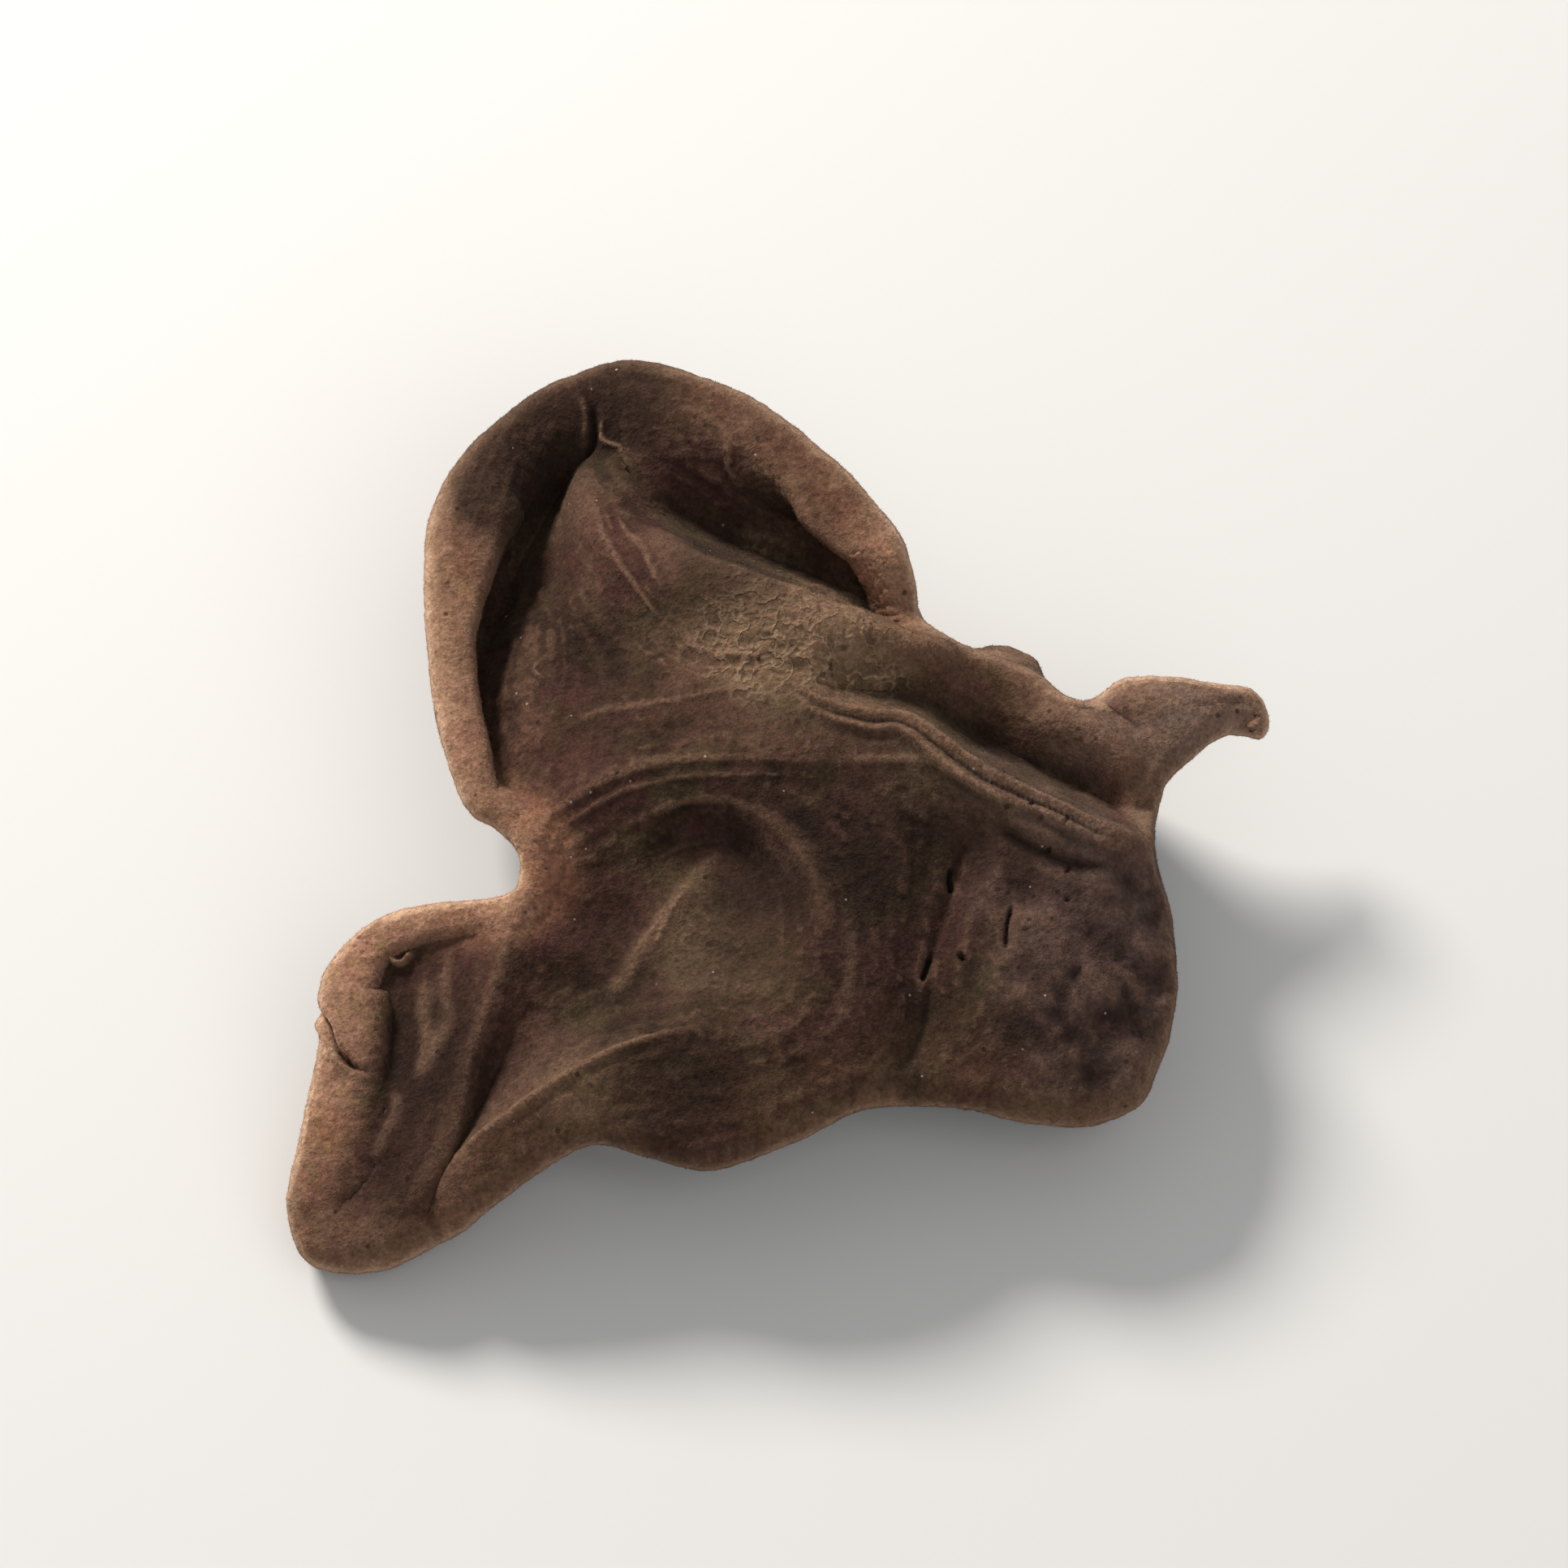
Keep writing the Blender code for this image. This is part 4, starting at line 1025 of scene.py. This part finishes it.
class Nodes:
    """Short calls for building a material's nodes."""

    def __init__(self, name):
        self.material = bpy.data.materials.new(name)
        self.material.use_nodes = True
        self.tree = self.material.node_tree
        self.place = self.node("ShaderNodeTexCoord", "Object", {})

    def join(self, output, socket):
        """Links an output to the socket, or sets the socket to a number or a colour."""
        if isinstance(output, (int, float)):
            socket.default_value = output
        elif isinstance(output, tuple):
            socket.default_value = (*output, 1.0)
        else:
            self.tree.links.new(output, socket)

    def node(self, kind, output, inputs, **settings):
        """This output of a new node, its inputs linked or set."""
        node = self.tree.nodes.new(kind)
        for key, value in settings.items():
            setattr(node, key, value)
        for key, value in inputs.items():
            self.join(value, node.inputs[key])
        return node.outputs[output]

    def noise(self, size, detail=3.0, roughness=0.55):
        """Noise from 0 to 1 with features of this size in millimetres."""
        inputs = {"Vector": self.place, "Scale": 1 / (size * MM), "Detail": detail, "Roughness": roughness}
        return self.node("ShaderNodeTexNoise", "Fac", inputs)

    def dots(self, spacing):
        """Distance to the nearest of scattered points this many millimetres apart, in spacings."""
        inputs = {"Vector": self.place, "Scale": 1 / (spacing * MM)}
        return self.node("ShaderNodeTexVoronoi", "Distance", inputs)

    def value(self, name):
        return self.node("ShaderNodeAttribute", "Fac", {}, attribute_name=name)

    def ranged(self, value, low, high, start=0.0, end=1.0):
        """From start where the value is low to end where it is high, smoothly."""
        inputs = {"Value": value, "From Min": low, "From Max": high, "To Min": start, "To Max": end}
        return self.node("ShaderNodeMapRange", "Result", inputs, interpolation_type="SMOOTHSTEP")

    def graded(self, name, *limits):
        """A value of the mesh, ranged."""
        return self.ranged(self.value(name), *limits)

    def blotches(self, size, detail, *limits):
        """Noise, ranged."""
        return self.ranged(self.noise(size, detail), *limits)

    def math(self, operation, a, b):
        return self.node("ShaderNodeMath", 0, {0: a, 1: b}, operation=operation)

    def times(self, a, b):
        return self.math("MULTIPLY", a, b)

    def mixed(self, share, a, b, blend="MIX"):
        inputs = {0: share, 6: a, 7: b}
        return self.node("ShaderNodeMix", 2, inputs, data_type="RGBA", blend_type=blend)

    def coated(self, colour, coats, blend="MIX"):
        """The colour under these coats, one on top of the other: the share and the colour of each."""
        for share, coat in coats:
            colour = self.mixed(share, colour, coat, blend)
        return colour

    def bump(self, height, depth, **under):
        """Bump of a height from 0 to 1 that stands for this depth in millimetres, over another if given."""
        return self.node("ShaderNodeBump", "Normal", {"Distance": depth * MM, "Height": height, **under})

    def finished(self, **sockets):
        """The material, its shader's sockets set or linked. An underscore stands for a space."""
        shader = self.tree.nodes["Principled BSDF"]
        for name, value in sockets.items():
            self.join(value, shader.inputs[name.replace("_", " ")])
        return self.material


def crinkles(n):
    """Fine wavy wrinkles where the felt is golden, 1 along each."""
    wave = n.math("ABSOLUTE", n.math("SUBTRACT", n.noise(1.5, 2.0, 0.5), 0.5), 0.0)
    return n.times(n.ranged(wave, 0.07, 0.0), n.graded("golden", 0.15, 0.9))


def rim_tan(n, hue, reddish):
    """The paler felt of the rims, in patches of yellower and redder tan."""
    tan = n.mixed(n.ranged(hue, 0.4, 0.6), DEEP_TAN, LIGHT_TAN)
    return n.coated(tan, (
        (n.blotches(1.7, 3.0, 0.46, 0.36, 0.0, 0.6), YELLOW_TAN),
        (n.blotches(2.1, 3.0, 0.54, 0.64, 0.0, 0.6), PINK_TAN),
        (n.times(reddish, 0.8), RED_TAN),
    ))


def lobe_grey(n):
    """The greyer felt of the right lobe, with painted light on its lumps and painted shade between them."""
    grey = n.mixed(n.graded("lump", -0.5, 0.5), DARK_GREY, PALE_GREY)
    return n.mixed(n.blotches(1.6, 5.0, 0.42, 0.62, 0.0, 0.55), grey, BROWN_GREY)


def felt_colour(n):
    """Brown felt: paler on the rims, mottled and speckled, with painted light on ridges, raised lines and
    the edge, and painted shade in the valleys, slits and shaded patches.
    """
    mottle = n.noise(3.2, 6.0, 0.65)
    hue = n.noise(6.0, 4.0, 0.6)
    # golden: the felt's golden tone, partly painted light.
    golden = n.times(n.value("golden"), n.ranged(mottle, 0.3, 0.6, 0.5, 1.0))
    reddish = n.times(n.value("reddish"), n.blotches(2.4, 4.0, 0.38, 0.62, 0.3, 1.0))
    greyish = n.times(n.value("greyish"), n.ranged(mottle, 0.3, 0.6, 0.4, 0.75))
    # lit: less of the painted light on the ridges and edge where the shade is painted.
    lit = n.graded("shaded", 0.1, 1.0, 1.0, 0.35)
    rim = n.times(n.graded("inside", 4.4, 0.8), n.graded("inside", -8.0, -3.0, 0.4, 1.0))
    rim = n.times(rim, n.times(n.value("paleness"), n.ranged(mottle, 0.28, 0.56, 0.65, 1.0)))
    edge = n.times(n.graded("inside", 0.6, -0.8), n.graded("inside", -3.2, -1.8))
    # The painted sheen at the edge, stronger on the paler rims.
    worn = n.times(n.value("worn"), n.graded("paleness", 0.0, 0.7, 0.15, 0.8))
    brown = n.mixed(n.ranged(mottle, 0.36, 0.64), DARK_BROWN, MID_BROWN)
    return n.coated(brown, (
        (n.ranged(hue, 0.48, 0.60, 0.0, 0.75), OLIVE),
        (n.blotches(7.0, 4.0, 0.46, 0.60, 0.0, 0.7), RUSSET),
        (golden, GOLD),
        (n.times(crinkles(n), 0.6), CRINKLE),
        (reddish, RED_BROWN),
        (n.graded("fibre", 0.2, 2.0, 0.0, 0.45), PALE_FIBRE),
        (n.graded("fibre", -0.6, -2.4, 0.0, 0.3), NEAR_BLACK),
        (rim, rim_tan(n, hue, reddish)),
        (n.times(n.value("lobe"), 0.75), lobe_grey(n)),
        (greyish, ASH),
        # Painted shade over the shaded patches.
        (n.times(n.value("shaded"), 0.85), SHADE),
        # Painted light on the ridges, dimmed where shade is painted.
        (n.times(n.graded("broad_cavity", -0.1, -0.8, 0.0, 0.25), lit), RIDGE),
        (n.times(n.graded("fine_cavity", -0.01, -0.06, 0.0, 0.3), lit), FINE_RIDGE),
        # Painted highlight along the raised thin lines and the net of wrinkles.
        (n.graded("line", 0.15, 0.8, 0.0, 0.5), PALE_LINE),
        (n.times(edge, n.graded("paleness", 0.1, 0.8, 0.0, 0.3)), EDGE),
        # Painted sheen at the edge, dimmed where shade is painted.
        (n.times(worn, lit), EDGE_SHEEN),
        # Painted shade in the broad valleys.
        (n.graded("broad_cavity", 0.0, 0.9, 0.0, 0.3), VALLEY),
        # Painted shade in the slits, cracks and dark lines along the creases.
        (n.graded("line", -0.15, -0.9, 0.0, 0.8), SLIT),
        # Painted shade in the fine cavities.
        (n.graded("fine_cavity", 0.01, 0.09, 0.0, 0.3), NEAR_BLACK),
    ))


def felt_material():
    """The felted side: the felt's colour with its grain, pin holes, pits and dust, and a fine bump."""
    n = Nodes("felted_skin")
    speckle = n.noise(0.30, 2.0, 0.6)
    grain = n.noise(0.75, 3.0, 0.6)
    brown = n.coated(felt_colour(n), (
        (n.ranged(speckle, 0.50, 0.70), (1.35, 1.30, 1.26)),
        (n.ranged(speckle, 0.48, 0.32), (0.76, 0.73, 0.70)),
        (n.ranged(grain, 0.52, 0.36), (0.84, 0.82, 0.80)),
        (n.ranged(grain, 0.52, 0.68), (1.15, 1.15, 1.12)),
    ), "MULTIPLY")
    pitted = n.math("MAXIMUM", n.graded("golden", 0.2, 0.7), n.graded("paleness", 0.4, 0.9))
    pitted = n.times(pitted, n.blotches(2.6, 3.0, 0.42, 0.58))
    brown = n.coated(brown, (
        (n.times(n.ranged(n.dots(1.5), 0.17, 0.09, 0.0, 0.7), n.blotches(5.0, 2.0, 0.45, 0.6)), PIN_HOLE),
        (n.times(n.ranged(n.dots(0.75), 0.32, 0.12, 0.0, 0.55), pitted), PIT),
        (n.ranged(n.dots(2.4), 0.045, 0.03, 0.0, 0.7), DUST),
    ))
    normal = n.bump(speckle, 0.12, Normal=n.bump(grain, 0.20))
    normal = n.bump(crinkles(n), 0.11, Normal=normal)
    return n.finished(Base_Color=brown, Roughness=0.95, Specular_IOR_Level=0.12, Sheen_Weight=0.06,
                      Sheen_Roughness=0.5, Sheen_Tint=SHEEN, Normal=normal)


def inner_material():
    """The inner face: smooth and very dark, with a faint blue-grey bloom and fine wrinkles."""
    n = Nodes("inner_face")
    bloom = n.noise(6.0, 4.0)
    dark = n.mixed(n.ranged(bloom, 0.42, 0.7), INNER_DARK, BLOOM)
    dark = n.mixed(n.blotches(9.0, 2.0, 0.55, 0.75, 0.0, 0.5), dark, INNER_RED)
    gloss = n.ranged(bloom, 0.4, 0.7, 0.38, 0.62)
    return n.finished(Base_Color=dark, Roughness=gloss, Normal=n.bump(n.noise(0.7, 4.0), 0.1))


def hem_material():
    """The broken edge of the hem: thin, pale and a little ragged in colour."""
    n = Nodes("hem_edge")
    ragged = n.mixed(n.blotches(1.2, 3.0, 0.35, 0.65), HEM_DARK, HEM_PALE)
    return n.finished(Base_Color=ragged, Roughness=0.85)


def fuzz_material():
    """Hairs of the felt: the felt's own colour, a little paler where their tips catch the light."""
    n = Nodes("felt_hairs")
    pale = n.mixed(0.6, felt_colour(n), (1.6, 1.55, 1.5), "MULTIPLY")
    return n.finished(Base_Color=pale, Roughness=0.9, Specular_IOR_Level=0.12)


def make_fuzz(felted):
    """Short felt hairs on the outer side, each a single thin triangle."""
    skin = felted.data
    skin.calc_loop_triangles()
    triangles = read(skin.loop_triangles, "vertices", 3, np.int32)
    places = coordinates(skin)
    outward = normals(skin)
    a, b, c = (places[triangles[:, k]] for k in range(3))
    area = np.linalg.norm(np.cross(b - a, c - a), axis=1)
    rng = np.random.default_rng(HAIR_SEED)
    chosen = triangles[rng.choice(len(triangles), HAIRS, p=area / area.sum())]
    weights = rng.dirichlet((1, 1, 1), HAIRS)
    roots = sum(weights[:, k:k + 1] * places[chosen[:, k]] for k in range(3))
    up = sum(weights[:, k:k + 1] * outward[chosen[:, k]] for k in range(3))
    lean = rng.standard_normal((HAIRS, 3))
    lean = unit(lean - (lean * up).sum(axis=1)[:, None] * up)
    tilt = np.radians(rng.uniform(*HAIR_TILT, HAIRS))[:, None]
    length = rng.uniform(*HAIR_LENGTH, HAIRS)[:, None] * MM
    width = rng.uniform(*HAIR_HALF_WIDTH, HAIRS)[:, None] * MM
    ahead = up * np.cos(tilt) + lean * np.sin(tilt)
    across = unit(np.cross(ahead, up)) * width
    roots -= up * HAIR_SUNK * MM
    corners = np.stack([roots - across, roots + across, roots + ahead * length], axis=1)
    corners[..., 2] = np.maximum(corners[..., 2], 0)
    mesh = bpy.data.meshes.new("felt_fuzz")
    mesh.from_pydata(corners.reshape(-1, 3), [], np.arange(3 * HAIRS).reshape(-1, 3), shade_flat=False)
    for name in FELT_VALUES:
        shares = read_value(skin, name)[chosen] * weights
        add_values(mesh, **{name: np.repeat(shares.sum(axis=1), 3)})
    mesh.materials.append(fuzz_material())
    return in_scene("felt_fuzz", mesh)


def make_floor():
    mesh = bpy.data.meshes.new("floor")
    half = FLOOR_SIZE / 2
    corners = [(-half, -half, 0), (half, -half, 0), (half, half, 0), (-half, half, 0)]
    mesh.from_pydata(corners, [], [(0, 1, 2, 3)])
    mesh.materials.append(Nodes("pale_floor").finished(Base_Color=FLOOR_COLOUR, Roughness=0.9))
    floor = in_scene("floor", mesh)


def aimed(thing, place, target):
    thing.location = place
    thing.rotation_euler = (Vector(target) - Vector(place)).to_track_quat("-Z", "Y").to_euler()


def make_light(name, place, size, power, colour):
    lamp = bpy.data.lights.new(name, "AREA")
    lamp.shape = "DISK"
    lamp.size = size
    lamp.energy = power
    lamp.color = colour
    aimed(in_scene(name, lamp), place, AIM)


def make_stage():
    make_floor()
    for light in LIGHTS:
        make_light(*light)
    world = bpy.data.worlds.new("studio")
    bpy.context.scene.world = world
    world.use_nodes = True
    sky = world.node_tree.nodes["Background"]
    sky.inputs["Color"].default_value = (*SKY_COLOUR, 1.0)
    sky.inputs["Strength"].default_value = SKY_STRENGTH


def make_camera():
    camera = in_scene("camera", bpy.data.cameras.new("camera"))
    aimed(camera, Vector(AIM) + Vector(OUT_OF_FACE) * CAMERA_DISTANCE, AIM)
    camera.data.lens = CAMERA_LENS
    camera.data.clip_start = 0.01
    bpy.context.scene.camera = camera
    bpy.context.scene.view_settings.view_transform = "Standard"


def main():
    felted, inner = make_sheet()
    fuzz = make_fuzz(felted)
    for piece in (felted, inner, fuzz):
        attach(piece, "root")
    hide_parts("mushroom")
    make_stage()
    make_camera()


main()
